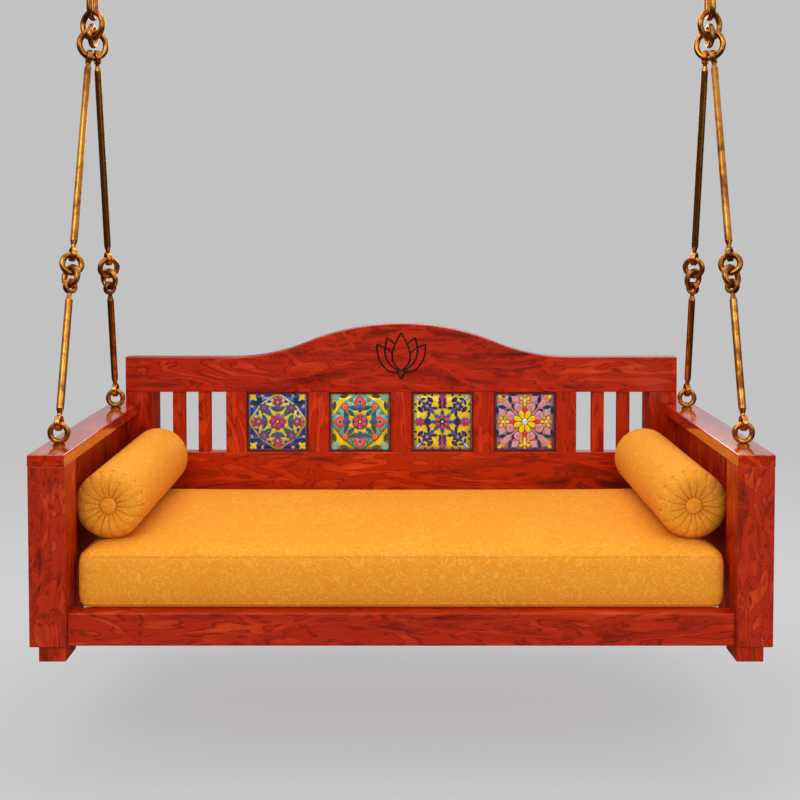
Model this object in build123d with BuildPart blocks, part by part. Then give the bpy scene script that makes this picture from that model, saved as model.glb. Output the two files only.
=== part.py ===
"""Jhoola: a carved wooden bench swing hung from the ceiling on brass rods and rings.

The frame has +X to the sitter's left as seen from the front, +Y from the front to the back
and +Z up. Its origin is the centre of the footprint, at the underside of the feet.
"""

import math
import os

from build123d import *

# ---- Bench frame ----
bench_width = 1524.0            # over the front posts
bench_depth = 676.0             # front face of the front posts to back face of the back posts
front_post_size = 76.0
arm_height = 429.0              # top of the arm rails above the floor
arm_thickness = 25.0
arm_end_setback = 36.0          # arm rail's back end before the back posts' back faces
back_post_width = 73.0
back_post_depth = 76.0
back_inset = 44.5               # back post's outer side, in from the front post's outer side
foot_width = 55.0
foot_depth = 70.0
foot_height = 31.0
foot_inset = 18.0               # foot's outer side, in from the front post's outer side
foot_setback = 5.0              # foot's front, back from the front post's face
seat_rail_height = 68.0
seat_rail_thickness = 38.0
rail_setback = 8.0              # front rail's face behind the faces of the front posts
side_board_thickness = 16.0
side_board_count = 5
side_board_groove = 4.0         # shadow gap between two neighbouring side boards
wood_ease = 2.5                 # rounding of the exposed wooden edges
small_ease = 1.2                # rounding of the slim wooden pieces

# ---- Seat platform ----
slat_thickness = 18.0
slat_width = 88.0
slat_count = 12
ledger_size = 28.0
bearer_thickness = 34.0

# ---- Backrest ----
back_panel_thickness = 32.0
back_opening_base = 302.6       # top of the lower back rail above the floor
back_opening_height = 157.4
lower_back_rail_height = 132.0
crest_height = 91.0             # crest rail at its level ends
arch_rise = 87.0
arch_half_span = 437.0
arch_top_radius = 650.0
post_tenon_height = 86.0        # back post's tongue behind the crest rail
stile_width = 52.6
stile_thickness = 28.0
tile_pitch = 215.0
tile_count = 4
tile_size = 152.4
tile_thickness = 8.0
bead_cover = 2.7                # bead over the upper and lower edges of a tile
bead_side_cover = 0.2           # bead over the left and right edges of a tile
bead_thickness = 5.0
bead_setback = 3.0
tile_board_thickness = 8.0
back_slat_width = 32.0
back_slat_thickness = 20.0
back_slat_outer_share = 0.3881  # of the free width beside the tiles, outside the outer slat
back_slat_middle_share = 0.2802  # of the same width, between the two slats

# ---- Cushions ----
mattress_thickness = 122.7
mattress_side_gap = 8.0
mattress_front_gap = 19.0       # mattress's front behind the face of the front rail
mattress_back_gap = 8.0
mattress_round = 14.0
cushion_lift = 0.3              # running gap under a loose cushion
bolster_diameter = 150.0
bolster_length = 490.0
bolster_side_inset = 61.4       # bolster's axis, in from the front post's inner side
bolster_back_gap = 15.0         # bolster's back end before the lower back rail
bolster_round = 16.0
button_diameter = 36.0
button_height = 6.0

# ---- Hangers ----
rod_diameter = 16.0
rod_neck_diameter = 10.0        # at the eyes
rod_neck_length = 3.0           # straight stretch beyond an eye
rod_taper = 11.0                # length from neck to full diameter
link_gap = 0.3                  # play between two loaded links
eye_hole_radius = 9.0
eye_wall = 8.0                  # radial wall of a rod's forged eye
eye_width = 12.0
eye_round = 2.5
anchor_ring_radius = 18.4       # to the middle of the wire, as all ring radii
anchor_wire = 12.0
anchor_rise = 27.0              # ring's centre above the arm rail
anchor_collar = 26.0
anchor_collar_height = 4.0
anchor_shank = 9.0
anchor_shank_length = 60.0
anchor_hole_play = 0.2
front_anchor_setback = 91.0     # front eye bolt behind the bench's front
back_anchor_setback = 67.0      # back eye bolt before the backrest's face
mid_ring_radius = 21.0
mid_ring_wire = 13.0
mid_ring_turn = 33.0            # each mid ring's turn about its rod
apex_ring_radius = 30.5
apex_ring_wire = 14.0
apex_ring_turn = 29.0
apex_height = 1319.0            # lower apex ring's centre above the floor
apex_y = 28.3                   # pivot line, over the centre of mass of all that hangs
rod_spread = 9.5                # each rod's eye to the side of the apex centre
keeper_ring_radius = 23.0
keeper_ring_wire = 12.0
lower_front_rod = 300.0         # between the centres of a rod's eyes
lower_back_rod = 268.0
long_link_half_width = 23.5
long_link_wire = 14.0
long_link_centres = 120.0       # between the centres of its two round ends

# ---- Ceiling fittings ----
pin_diameter = 14.0
pin_running_gap = 0.05
pin_head_diameter = 26.0
pin_head_height = 8.0
pin_nut_size = 22.0
pin_nut_height = 11.0
pin_tail = 3.0
roller_width = 16.0
cheek_gap = 18.0
cheek_thickness = 7.0
cheek_radius = 19.0
cheek_reach = 45.0              # pin's centre below the ceiling plate
plate_size = 110.0
plate_thickness = 8.0
plate_round = 8.0
plate_hole_diameter = 9.0
plate_hole_spacing = 80.0

# ---- Worked out from the sizes above ----
half_width = bench_width / 2
arm_length = bench_depth - arm_end_setback
front_y = -bench_depth / 2
back_y = bench_depth / 2
post_inner_x = half_width - front_post_size
back_half = half_width - back_inset
back_post_inner_x = back_half - back_post_width
back_face_y = back_y - back_post_depth
arm_base = arm_height - arm_thickness
seat_top = foot_height + seat_rail_height
opening_top = back_opening_base + back_opening_height
board_x = back_half + side_board_thickness / 2
board_depth = arm_length - front_post_size
stile_pitch_offset = (tile_count / 2) * tile_pitch
tile_opening_width = tile_pitch - stile_width
tile_centre_z = back_opening_base + back_opening_height / 2
bead_y = back_face_y + bead_setback
tile_y = bead_y + bead_thickness
tile_board_y = tile_y + tile_thickness
mattress_base = seat_top + cushion_lift
mattress_top = mattress_base + mattress_thickness
mattress_front_y = front_y + rail_setback + mattress_front_gap
mattress_back_y = back_face_y - mattress_back_gap
bolster_x = post_inner_x - bolster_side_inset
bolster_z = mattress_top + cushion_lift + bolster_diameter / 2
bolster_back_y = back_face_y - bolster_back_gap
bolster_front_y = bolster_back_y - bolster_length
anchor_z = arm_height + anchor_rise
front_anchor_y = front_y + front_anchor_setback
back_anchor_y = back_face_y - back_anchor_setback
apex_link_step = 2 * apex_ring_radius - apex_ring_wire - link_gap
upper_apex_z = apex_height + apex_link_step
long_link_base_z = upper_apex_z + apex_ring_radius - (apex_ring_wire + long_link_wire) / 2 - link_gap
pin_z = long_link_base_z + long_link_half_width + long_link_centres
plate_base_z = pin_z + cheek_reach
roller_radius = long_link_half_width - long_link_wire / 2 - link_gap
sides = {"left": -1, "right": 1}

os.makedirs("parts", exist_ok=True)


def save(piece, name):
    """Label a finished piece and write its STEP file."""
    piece.part.label = name
    export_step(piece.part, f"parts/{name}.step")


def span_plane(x, y, z):
    """Return the level plane at a point, on which a footprint is drawn."""
    return Plane(origin=(x, y, z), z_dir=(0, 0, 1))


def bar(width, depth, height, x, y, z, ease=wood_ease):
    """Make a wooden bar with eased edges, from the centre of its base."""
    with BuildPart() as piece:
        with BuildSketch(span_plane(x, y, z)):
            Rectangle(width, depth)
        extrude(amount=height)
        fillet(piece.edges(), min(ease, 0.2 * min(width, depth, height)))
    return piece


def torus_on(plane, radius, wire):
    """Make a closed ring lying in a plane."""
    with BuildPart() as piece:
        with BuildSketch(Plane(origin=plane.origin + plane.x_dir * radius,
                               x_dir=plane.x_dir, z_dir=plane.y_dir)):
            Circle(wire / 2)
        revolve(axis=Axis(plane.origin, plane.z_dir))
    return piece


# ---- Feet ----
foot_x = half_width - foot_inset - foot_width / 2
foot_y = front_y + foot_setback + foot_depth / 2
back_foot_x = back_half - back_post_width / 2
back_foot_y = back_y - back_post_depth / 2
with BuildPart() as feet:
    for side in sides.values():
        for x, y in ((foot_x, foot_y), (back_foot_x, back_foot_y)):
            with BuildSketch(span_plane(side * x, y, 0)):
                Rectangle(foot_width, foot_depth)
            extrude(amount=foot_height)
    fillet(feet.edges().filter_by(Axis.Z), small_ease)
save(feet, "feet")

# ---- Front posts and arm rails ----
arm_x = half_width - front_post_size / 2
arm_y = front_y + arm_length / 2
notch_depth = front_y + arm_length - back_face_y
notch_width = back_half - post_inner_x
front_post_y = front_y + front_post_size / 2
anchor_points = ((board_x, front_anchor_y), (board_x, back_anchor_y))
for name, side in sides.items():
    front_post = bar(front_post_size, front_post_size, arm_base - foot_height,
                     side * arm_x, front_post_y, foot_height)
    save(front_post, f"front_post_{name}")

    with BuildPart() as arm_rail:
        with BuildSketch(span_plane(side * arm_x, arm_y, arm_base)):
            Rectangle(front_post_size, arm_length)
        extrude(amount=arm_thickness)
        with BuildSketch(span_plane(side * (back_half - notch_width / 2),
                                    back_face_y + notch_depth / 2, arm_base)):
            Rectangle(notch_width, notch_depth)
        extrude(amount=arm_thickness, mode=Mode.SUBTRACT)
        fillet(arm_rail.faces().sort_by(Axis.Z)[-1].edges(), wood_ease)
        with BuildSketch(span_plane(0, 0, arm_base)):
            with Locations(*[(side * x, y) for x, y in anchor_points]):
                Circle(anchor_shank / 2 + anchor_hole_play)
        extrude(amount=arm_thickness, mode=Mode.SUBTRACT)
    save(arm_rail, f"arm_rail_{name}")

# ---- Back posts, rebated for the crest rail and the lower back rail ----
for name, side in sides.items():
    post_x = side * (back_half - back_post_width / 2)
    with BuildPart() as back_post:
        with BuildSketch(span_plane(post_x, back_y - back_post_depth / 2, foot_height)):
            Rectangle(back_post_width, back_post_depth)
        extrude(amount=opening_top - foot_height)
        with BuildSketch(span_plane(post_x, (back_face_y + back_panel_thickness + back_y) / 2, opening_top)):
            Rectangle(back_post_width, back_post_depth - back_panel_thickness)
        extrude(amount=post_tenon_height)
        fillet(back_post.edges().filter_by(Axis.Z), small_ease)
        fillet(back_post.faces().sort_by(Axis.Z)[-1].edges(), small_ease)
    save(back_post, f"back_post_{name}")

# ---- Seat rails ----
front_rail = bar(2 * post_inner_x, seat_rail_thickness, seat_rail_height,
                 0, front_y + rail_setback + seat_rail_thickness / 2, foot_height)
save(front_rail, "front_rail")

back_rail_y = back_y - seat_rail_thickness / 2
back_rail = bar(2 * back_post_inner_x, seat_rail_thickness, seat_rail_height,
                0, back_rail_y, foot_height)
save(back_rail, "back_rail")

for name, side in sides.items():
    side_rail = bar(seat_rail_thickness, board_depth, seat_rail_height,
                    side * (back_half + seat_rail_thickness / 2),
                    front_y + front_post_size + board_depth / 2, foot_height)
    save(side_rail, f"side_rail_{name}")

# ---- Side boards under the arm rails, on the side rails ----
board_pitch = board_depth / side_board_count
for name, side in sides.items():
    with BuildPart() as side_boards:
        for index in range(side_board_count):
            board_y = front_y + front_post_size + board_pitch * (index + 0.5)
            with BuildSketch(span_plane(side * board_x, board_y, seat_top)):
                Rectangle(side_board_thickness, board_pitch - side_board_groove)
            extrude(amount=arm_base - seat_top)
        fillet(side_boards.edges().filter_by(Axis.Z), small_ease)
        with BuildSketch(span_plane(0, 0, arm_base)):
            with Locations(*[(side * x, y) for x, y in anchor_points]):
                Circle(anchor_shank / 2 + anchor_hole_play)
        extrude(amount=-(anchor_shank_length - arm_thickness + link_gap), mode=Mode.SUBTRACT)
    save(side_boards, f"side_boards_{name}")

# ---- Seat platform ----
front_rail_back_y = front_y + rail_setback + seat_rail_thickness
back_rail_front_y = back_y - seat_rail_thickness
slat_base = seat_top - slat_thickness
slat_length = back_rail_front_y - front_rail_back_y
slat_mid_y = (back_rail_front_y + front_rail_back_y) / 2
with BuildPart() as seat_ledgers:
    for y in (front_rail_back_y + ledger_size / 2, back_rail_front_y - ledger_size / 2):
        with BuildSketch(span_plane(0, y, slat_base - ledger_size)):
            Rectangle(2 * back_post_inner_x, ledger_size)
        extrude(amount=ledger_size)
save(seat_ledgers, "seat_ledgers")

bearer_length = slat_length - 2 * ledger_size
seat_bearer = bar(bearer_thickness, bearer_length, slat_base - foot_height,
                  0, slat_mid_y, foot_height, small_ease)
save(seat_bearer, "seat_bearer")

slat_field = 2 * back_post_inner_x
slat_pitch = (slat_field - slat_width) / (slat_count - 1)
with BuildPart() as seat_slats:
    for index in range(slat_count):
        slat_x = -slat_field / 2 + slat_width / 2 + index * slat_pitch
        with BuildSketch(span_plane(slat_x, slat_mid_y, slat_base)):
            Rectangle(slat_width, slat_length)
        extrude(amount=slat_thickness)
save(seat_slats, "seat_slats")

# ---- Crest rail, its top a centre arch that runs into level ends ----
arch_foot_radius = (arch_half_span ** 2 + arch_rise ** 2) / (2 * arch_rise) - arch_top_radius
arch_turn = math.asin(arch_half_span / (arch_top_radius + arch_foot_radius))
crest_flat_z = opening_top + crest_height
crown_z = crest_flat_z + arch_rise
inflection_x = arch_top_radius * math.sin(arch_turn)
inflection_z = crown_z - arch_top_radius * (1 - math.cos(arch_turn))
half_turn = arch_turn / 2
crown_mid = (arch_top_radius * math.sin(half_turn), crown_z - arch_top_radius * (1 - math.cos(half_turn)))
foot_mid = (arch_half_span - arch_foot_radius * math.sin(half_turn),
            crest_flat_z + arch_foot_radius * (1 - math.cos(half_turn)))
crest_plane = Plane(origin=(0, back_face_y, 0), x_dir=(1, 0, 0), z_dir=(0, -1, 0))
with BuildPart() as crest_rail:
    with BuildSketch(crest_plane):
        with BuildLine():
            Polyline((0, opening_top), (back_half, opening_top), (back_half, crest_flat_z),
                     (arch_half_span, crest_flat_z))
            ThreePointArc((arch_half_span, crest_flat_z), foot_mid, (inflection_x, inflection_z))
            ThreePointArc((inflection_x, inflection_z), crown_mid, (0, crown_z))
            Line((0, crown_z), (0, opening_top))
        make_face()
        mirror(about=Plane.YZ)
    extrude(amount=-back_panel_thickness)
    fillet(crest_rail.faces().filter_by(Axis.Y).sort_by(Axis.Y)[0].edges(), wood_ease)
save(crest_rail, "crest_rail")

# ---- Lower back rail, slats and stiles ----
lower_back_rail = bar(2 * back_post_inner_x, back_panel_thickness, lower_back_rail_height, 0,
                      back_face_y + back_panel_thickness / 2, back_opening_base - lower_back_rail_height)
save(lower_back_rail, "lower_back_rail")

back_slat_y = back_face_y + back_panel_thickness / 2
back_slat_air = back_post_inner_x - (stile_pitch_offset + stile_width / 2) - 2 * back_slat_width
back_slat_outer_x = back_post_inner_x - back_slat_outer_share * back_slat_air - back_slat_width / 2
back_slat_inner_x = back_slat_outer_x - back_slat_width - back_slat_middle_share * back_slat_air
with BuildPart() as back_slats:
    for slat_x in (-back_slat_outer_x, -back_slat_inner_x, back_slat_inner_x, back_slat_outer_x):
        with BuildSketch(span_plane(slat_x, back_slat_y, back_opening_base)):
            Rectangle(back_slat_width, back_slat_thickness)
        extrude(amount=back_opening_height)
    fillet(back_slats.edges().filter_by(Axis.Z), small_ease)
save(back_slats, "back_slats")

with BuildPart() as tile_stiles:
    for index in range(tile_count + 1):
        with BuildSketch(span_plane(index * tile_pitch - stile_pitch_offset,
                                    back_face_y + stile_thickness / 2, back_opening_base)):
            Rectangle(stile_width, stile_thickness)
        extrude(amount=back_opening_height)
    fillet(tile_stiles.edges().filter_by(Axis.Z), small_ease)
save(tile_stiles, "tile_stiles")

# ---- Tiles, each between a bead in front and a board behind ----
tile_centres = [(index + 0.5) * tile_pitch - stile_pitch_offset for index in range(tile_count)]


def upright_plane(x, y):
    """Return a plane that faces the sitter, at the height of the tiles' centres."""
    return Plane(origin=(x, y, tile_centre_z), x_dir=(1, 0, 0), z_dir=(0, -1, 0))


with BuildPart() as tile_beads:
    for x in tile_centres:
        with BuildSketch(upright_plane(x, bead_y)):
            Rectangle(tile_opening_width, back_opening_height)
            Rectangle(tile_size - 2 * bead_side_cover, tile_size - 2 * bead_cover, mode=Mode.SUBTRACT)
        extrude(amount=-bead_thickness)
save(tile_beads, "tile_beads")

with BuildPart() as tile_boards:
    for x in tile_centres:
        with BuildSketch(upright_plane(x, tile_board_y)):
            Rectangle(tile_opening_width, back_opening_height)
        extrude(amount=-tile_board_thickness)
save(tile_boards, "tile_boards")

for index, x in enumerate(tile_centres, start=1):
    with BuildPart() as tile:
        with BuildSketch(upright_plane(x, tile_y)):
            Rectangle(tile_size, tile_size)
        extrude(amount=-tile_thickness)
    save(tile, f"tile_{index}")

# ---- Mattress and bolsters ----
mattress_width = 2 * (post_inner_x - mattress_side_gap)
mattress_length = mattress_back_y - mattress_front_y
with BuildPart() as mattress:
    with BuildSketch(span_plane(0, (mattress_front_y + mattress_back_y) / 2, mattress_base)):
        RectangleRounded(mattress_width, mattress_length, mattress_round)
    extrude(amount=mattress_thickness)
    fillet(mattress.faces().sort_by(Axis.Z)[-1].edges(), 0.9 * mattress_round)
save(mattress, "mattress")


def end_plane(x, y):
    """Return a plane square to the bolster's length, facing the front."""
    return Plane(origin=(x, y, bolster_z), x_dir=(1, 0, 0), z_dir=(0, -1, 0))


for name, side in sides.items():
    with BuildPart() as bolster:
        with BuildSketch(end_plane(side * bolster_x, bolster_front_y)):
            Circle(bolster_diameter / 2)
        extrude(amount=-bolster_length)
        fillet(bolster.edges().filter_by(GeomType.CIRCLE), bolster_round)
    save(bolster, f"bolster_{name}")

    with BuildPart() as buttons:
        with BuildSketch(end_plane(side * bolster_x, bolster_front_y)):
            Circle(button_diameter / 2)
        extrude(amount=button_height)
        with BuildSketch(end_plane(side * bolster_x, bolster_back_y)):
            Circle(button_diameter / 2)
        extrude(amount=-button_height)
        fillet(buttons.faces().sort_by(Axis.Y)[0].edges(), button_height / 2)
        fillet(buttons.faces().sort_by(Axis.Y)[-1].edges(), button_height / 2)
    save(buttons, f"bolster_buttons_{name}")

# ---- Hanger strands ----


def apex_wire_direction(side):
    """Return the level direction in which a lower apex ring lies."""
    return Vector(1, 0, 0).rotate(Axis.Z, -side * apex_ring_turn)


def eye_offset(ring_radius, wire, aside=0):
    """Return how far a seated eye's centre lies from the middle of its ring's wire.

    The ring's curve, and its slope away from its lowest point, lift it in the eye's width.
    """
    reach = eye_width / 2 - 0.6 * eye_round
    slope = aside / math.sqrt(ring_radius ** 2 - aside ** 2)
    lift = reach * slope + reach ** 2 / (2 * ring_radius)
    return eye_hole_radius - wire / 2 - link_gap - lift


class Strand:
    """One leaning strand, from an arm rail's eye to the apex, with points measured along it."""

    def __init__(self, side, anchor_y, rod_side, lower_rod):
        foot = Vector(side * board_x, anchor_y, anchor_z + anchor_ring_radius)
        drop = math.sqrt(apex_ring_radius ** 2 - rod_spread ** 2)
        centre = Vector(side * board_x, apex_y, apex_height - drop)
        head = centre + apex_wire_direction(side) * (rod_side * rod_spread)
        self.foot = foot
        self.along = (head - foot).normalized()
        lower_eye = eye_offset(anchor_ring_radius, anchor_wire)
        eye_to_mid = eye_offset(mid_ring_radius, mid_ring_wire)
        self.lower_rod = (lower_eye, lower_eye + lower_rod)
        self.low_ring = self.lower_rod[1] + eye_to_mid + mid_ring_radius
        self.high_ring = self.low_ring + 2 * mid_ring_radius - mid_ring_wire - link_gap
        upper_foot = self.high_ring + mid_ring_radius + eye_to_mid
        upper_head = (head - foot).length - eye_offset(apex_ring_radius, apex_ring_wire, rod_spread)
        self.upper_rod = (upper_foot, upper_head)

    def point(self, distance):
        """Return the point at a distance up the strand."""
        return self.foot + self.along * distance

    def ring_plane(self, distance, turn):
        """Return the plane of a ring that hangs in the strand, turned about it."""
        across = Vector(1, 0, 0) - self.along * self.along.X
        across = across.normalized().rotate(Axis((0, 0, 0), self.along), turn)
        return Plane(origin=self.point(distance), x_dir=self.along, z_dir=self.along.cross(across))


def forged_eye(centre, along, normal):
    """Make a rod's forged eye: a thick washer with rounded edges."""
    with BuildPart() as eye:
        with BuildSketch(Plane(origin=centre, x_dir=along, z_dir=normal)):
            Circle(eye_hole_radius + eye_wall)
            Circle(eye_hole_radius, mode=Mode.SUBTRACT)
        extrude(amount=eye_width / 2, both=True)
        fillet(eye.edges().filter_by(GeomType.CIRCLE), eye_round)
    return eye


def rod_section(strand, distance):
    """Return the plane square to a strand, at a distance up it."""
    return Plane(origin=strand.point(distance), x_dir=(1, 0, 0), z_dir=strand.along)


def rod_with_eyes(strand, ends, normals):
    """Make a straight rod, tapered to a neck at each end, with an eye turned to suit its ring."""
    start, stop = ends
    inset = eye_hole_radius + eye_wall / 2
    neck_end = eye_hole_radius + eye_wall + rod_neck_length
    shoulder = neck_end + rod_taper
    with BuildPart() as rod:
        for end, way in ((start, 1), (stop, -1)):
            with BuildSketch(rod_section(strand, end + way * inset)):
                Circle(rod_neck_diameter / 2)
            extrude(amount=way * (neck_end - inset))
            with BuildSketch(rod_section(strand, end + way * neck_end)):
                Circle(rod_neck_diameter / 2)
            with BuildSketch(rod_section(strand, end + way * shoulder)):
                Circle(rod_diameter / 2)
            loft()
        with BuildSketch(rod_section(strand, start + shoulder)):
            Circle(rod_diameter / 2)
        extrude(amount=stop - start - 2 * shoulder)
        for end, normal in zip(ends, normals):
            add(forged_eye(strand.point(end), strand.along, normal).part)
    return rod


def make_strand(side, end, name, anchor_y, lower_rod):
    """Make the rods and mid rings of one strand and write their nodes."""
    rod_side = -side if end == "back" else side
    strand = Strand(side, anchor_y, rod_side, lower_rod)
    low_plane = strand.ring_plane(strand.low_ring, side * mid_ring_turn)
    high_plane = strand.ring_plane(strand.high_ring, -side * mid_ring_turn)
    square = strand.ring_plane(0, 0).y_dir
    low_normal = low_plane.y_dir
    high_normal = high_plane.y_dir
    apex_normal = apex_wire_direction(side)
    apex_normal = (apex_normal - strand.along * apex_normal.dot(strand.along)).normalized()

    save(rod_with_eyes(strand, strand.lower_rod, (square, low_normal)), f"lower_rod_{end}_{name}")
    save(rod_with_eyes(strand, strand.upper_rod, (high_normal, apex_normal)), f"upper_rod_{end}_{name}")
    low_ring = torus_on(low_plane, mid_ring_radius, mid_ring_wire)
    high_ring = torus_on(high_plane, mid_ring_radius, mid_ring_wire)
    with BuildPart() as rings:
        add(low_ring.part)
        add(high_ring.part)
    save(rings, f"mid_rings_{end}_{name}")


def turned_plane(x, z, turn):
    """Return an upright plane over the pivot line, turned about the plumb line."""
    facing = Vector(0, -1, 0).rotate(Axis.Z, turn)
    return Plane(origin=(x, apex_y, z), x_dir=(0, 0, 1), z_dir=facing)


for name, side in sides.items():
    make_strand(side, "front", name, front_anchor_y, lower_front_rod)
    make_strand(side, "back", name, back_anchor_y, lower_back_rod)

    strand_x = side * board_x
    lower_apex_ring = torus_on(turned_plane(strand_x, apex_height, -side * apex_ring_turn),
                               apex_ring_radius, apex_ring_wire)
    save(lower_apex_ring, f"lower_apex_ring_{name}")
    upper_apex_ring = torus_on(turned_plane(strand_x, upper_apex_z, side * apex_ring_turn),
                               apex_ring_radius, apex_ring_wire)
    save(upper_apex_ring, f"upper_apex_ring_{name}")

    keeper_z = (apex_height + apex_ring_radius + apex_ring_wire / 2 + link_gap
                - (keeper_ring_radius - keeper_ring_wire / 2))
    keeper_ring = torus_on(turned_plane(strand_x, keeper_z, 90), keeper_ring_radius, keeper_ring_wire)
    save(keeper_ring, f"keeper_ring_{name}")

    # Long link: two straight sides and two round ends, swept in one closed loop.
    link_plane = Plane(origin=(strand_x, apex_y, pin_z), x_dir=(0, 1, 0), z_dir=(1, 0, 0))
    with BuildPart() as long_link:
        with BuildLine(link_plane) as link_path:
            right_bar = Line((long_link_half_width, 0), (long_link_half_width, -long_link_centres))
            base = TangentArc(right_bar @ 1, (-long_link_half_width, -long_link_centres),
                              tangent=right_bar % 1)
            left_bar = Line(base @ 1, (-long_link_half_width, 0))
            TangentArc(left_bar @ 1, right_bar @ 0, tangent=left_bar % 1)
        with BuildSketch(Plane(origin=right_bar @ 0, z_dir=right_bar % 0)):
            Circle(long_link_wire / 2)
        sweep()
    save(long_link, f"long_link_{name}")

# ---- Eye bolts in the arm rails ----
for name, side in sides.items():
    with BuildPart() as arm_eyes:
        for x, y in anchor_points:
            with BuildSketch(Plane(origin=(side * (x + anchor_ring_radius), y, anchor_z),
                                   x_dir=(1, 0, 0), z_dir=(0, 0, 1))):
                Circle(anchor_wire / 2)
            revolve(axis=Axis((side * x, y, anchor_z), (0, 1, 0)))
            with BuildSketch(span_plane(side * x, y, arm_height)):
                Circle(anchor_collar / 2)
            extrude(amount=anchor_collar_height)
            with BuildSketch(span_plane(side * x, y, arm_height + anchor_collar_height)):
                Circle(anchor_shank / 2)
            extrude(amount=anchor_rise - anchor_ring_radius - anchor_collar_height)
            with BuildSketch(span_plane(side * x, y, arm_height)):
                Circle(anchor_shank / 2)
            extrude(amount=-anchor_shank_length)
    save(arm_eyes, f"arm_eyes_{name}")

# ---- Ceiling brackets, each with a pin and a roller for the long link ----
half_cheek_gap = cheek_gap / 2
for name, side in sides.items():
    strand_x = side * board_x
    with BuildPart() as ceiling_bracket:
        with BuildSketch(span_plane(strand_x, apex_y, plate_base_z)):
            RectangleRounded(plate_size, plate_size, plate_round)
            with GridLocations(plate_hole_spacing, plate_hole_spacing, 2, 2):
                Circle(plate_hole_diameter / 2, mode=Mode.SUBTRACT)
        extrude(amount=plate_thickness)
        for offset in (-half_cheek_gap - cheek_thickness, half_cheek_gap):
            with BuildSketch(Plane(origin=(strand_x + offset, apex_y, pin_z), x_dir=(0, 1, 0),
                                   z_dir=(1, 0, 0))):
                Circle(cheek_radius)
                with Locations((0, cheek_reach / 2)):
                    Rectangle(2 * cheek_radius, cheek_reach)
                Circle(pin_diameter / 2, mode=Mode.SUBTRACT)
            extrude(amount=cheek_thickness)
    save(ceiling_bracket, f"ceiling_bracket_{name}")

pin_reach = half_cheek_gap + cheek_thickness


def pin_plane(side, inward):
    """Return a plane square to a pin, a distance inward of its long link, facing inward."""
    return Plane(origin=(side * (board_x - inward), apex_y, pin_z), x_dir=(0, 1, 0), z_dir=(-side, 0, 0))


with BuildPart() as pivot_pins:
    for side in sides.values():
        with BuildSketch(pin_plane(side, -pin_reach)):
            Circle(pin_diameter / 2)
        extrude(amount=2 * pin_reach + pin_nut_height + pin_tail)
        with BuildSketch(pin_plane(side, -pin_reach)):
            Circle(pin_head_diameter / 2)
        extrude(amount=-pin_head_height)
save(pivot_pins, "pivot_pins")

with BuildPart() as pin_nuts:
    for side in sides.values():
        with BuildSketch(pin_plane(side, pin_reach)):
            RegularPolygon(pin_nut_size / 2, 6, major_radius=False)
            Circle(pin_diameter / 2, mode=Mode.SUBTRACT)
        extrude(amount=pin_nut_height)
save(pin_nuts, "pin_nuts")

with BuildPart() as pivot_rollers:
    for side in sides.values():
        with BuildSketch(pin_plane(side, -roller_width / 2)):
            Circle(roller_radius)
            Circle(pin_diameter / 2 + pin_running_gap, mode=Mode.SUBTRACT)
        extrude(amount=roller_width)
save(pivot_rollers, "pivot_rollers")
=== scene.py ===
"""Jhoola swing: finishes, cushions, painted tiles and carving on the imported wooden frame."""

import logging
import math
import random
from collections.abc import Callable, Iterable, Sequence
from dataclasses import dataclass, field, replace
from enum import Enum

import bmesh
import bpy
import numpy as np
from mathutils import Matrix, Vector
from mathutils.bvhtree import BVHTree

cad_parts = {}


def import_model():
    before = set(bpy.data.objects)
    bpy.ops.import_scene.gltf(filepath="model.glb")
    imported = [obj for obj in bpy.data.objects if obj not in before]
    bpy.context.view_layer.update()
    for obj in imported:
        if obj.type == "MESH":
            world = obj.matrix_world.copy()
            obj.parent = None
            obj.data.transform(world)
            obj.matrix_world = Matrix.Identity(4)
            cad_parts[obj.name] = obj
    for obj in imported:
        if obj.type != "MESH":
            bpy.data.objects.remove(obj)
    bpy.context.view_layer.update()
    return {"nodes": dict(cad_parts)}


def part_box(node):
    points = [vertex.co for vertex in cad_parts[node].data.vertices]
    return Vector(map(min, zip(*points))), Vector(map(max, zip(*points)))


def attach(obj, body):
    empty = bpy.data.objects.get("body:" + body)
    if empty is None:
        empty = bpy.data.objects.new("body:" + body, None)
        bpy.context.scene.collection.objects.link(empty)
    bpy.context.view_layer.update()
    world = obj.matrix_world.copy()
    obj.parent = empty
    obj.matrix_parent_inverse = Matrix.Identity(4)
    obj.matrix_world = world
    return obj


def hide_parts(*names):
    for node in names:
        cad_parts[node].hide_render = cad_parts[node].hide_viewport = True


log = logging.getLogger("jhoola")

Point = tuple[float, float, float]
Pair = tuple[float, float]
Colour = tuple[float, float, float, float]
Socket = bpy.types.NodeSocket

MM = 0.001
PAINTED_FOLD_SHADE = "fold"  # mesh attribute for painted shade: how deep in a gathered fold the cloth lies, from 0 to 1, which darkens the cloth there


# ---- Working with nodes and meshes ----


def screen_colour(red: int, green: int, blue: int) -> Colour:
    """Turn a colour as a screen shows it into the linear one that a shader takes.

    Args:
        red: Red from 0 to 255.
        green: Green from 0 to 255.
        blue: Blue from 0 to 255.

    Returns:
        The linear colour, with full opacity.
    """

    def linear(value: float) -> float:
        """Undo the screen curve of one channel."""
        value /= 255
        return value / 12.92 if value <= 0.04045 else ((value + 0.055) / 1.055) ** 2.4

    return (linear(red), linear(green), linear(blue), 1.0)


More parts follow.
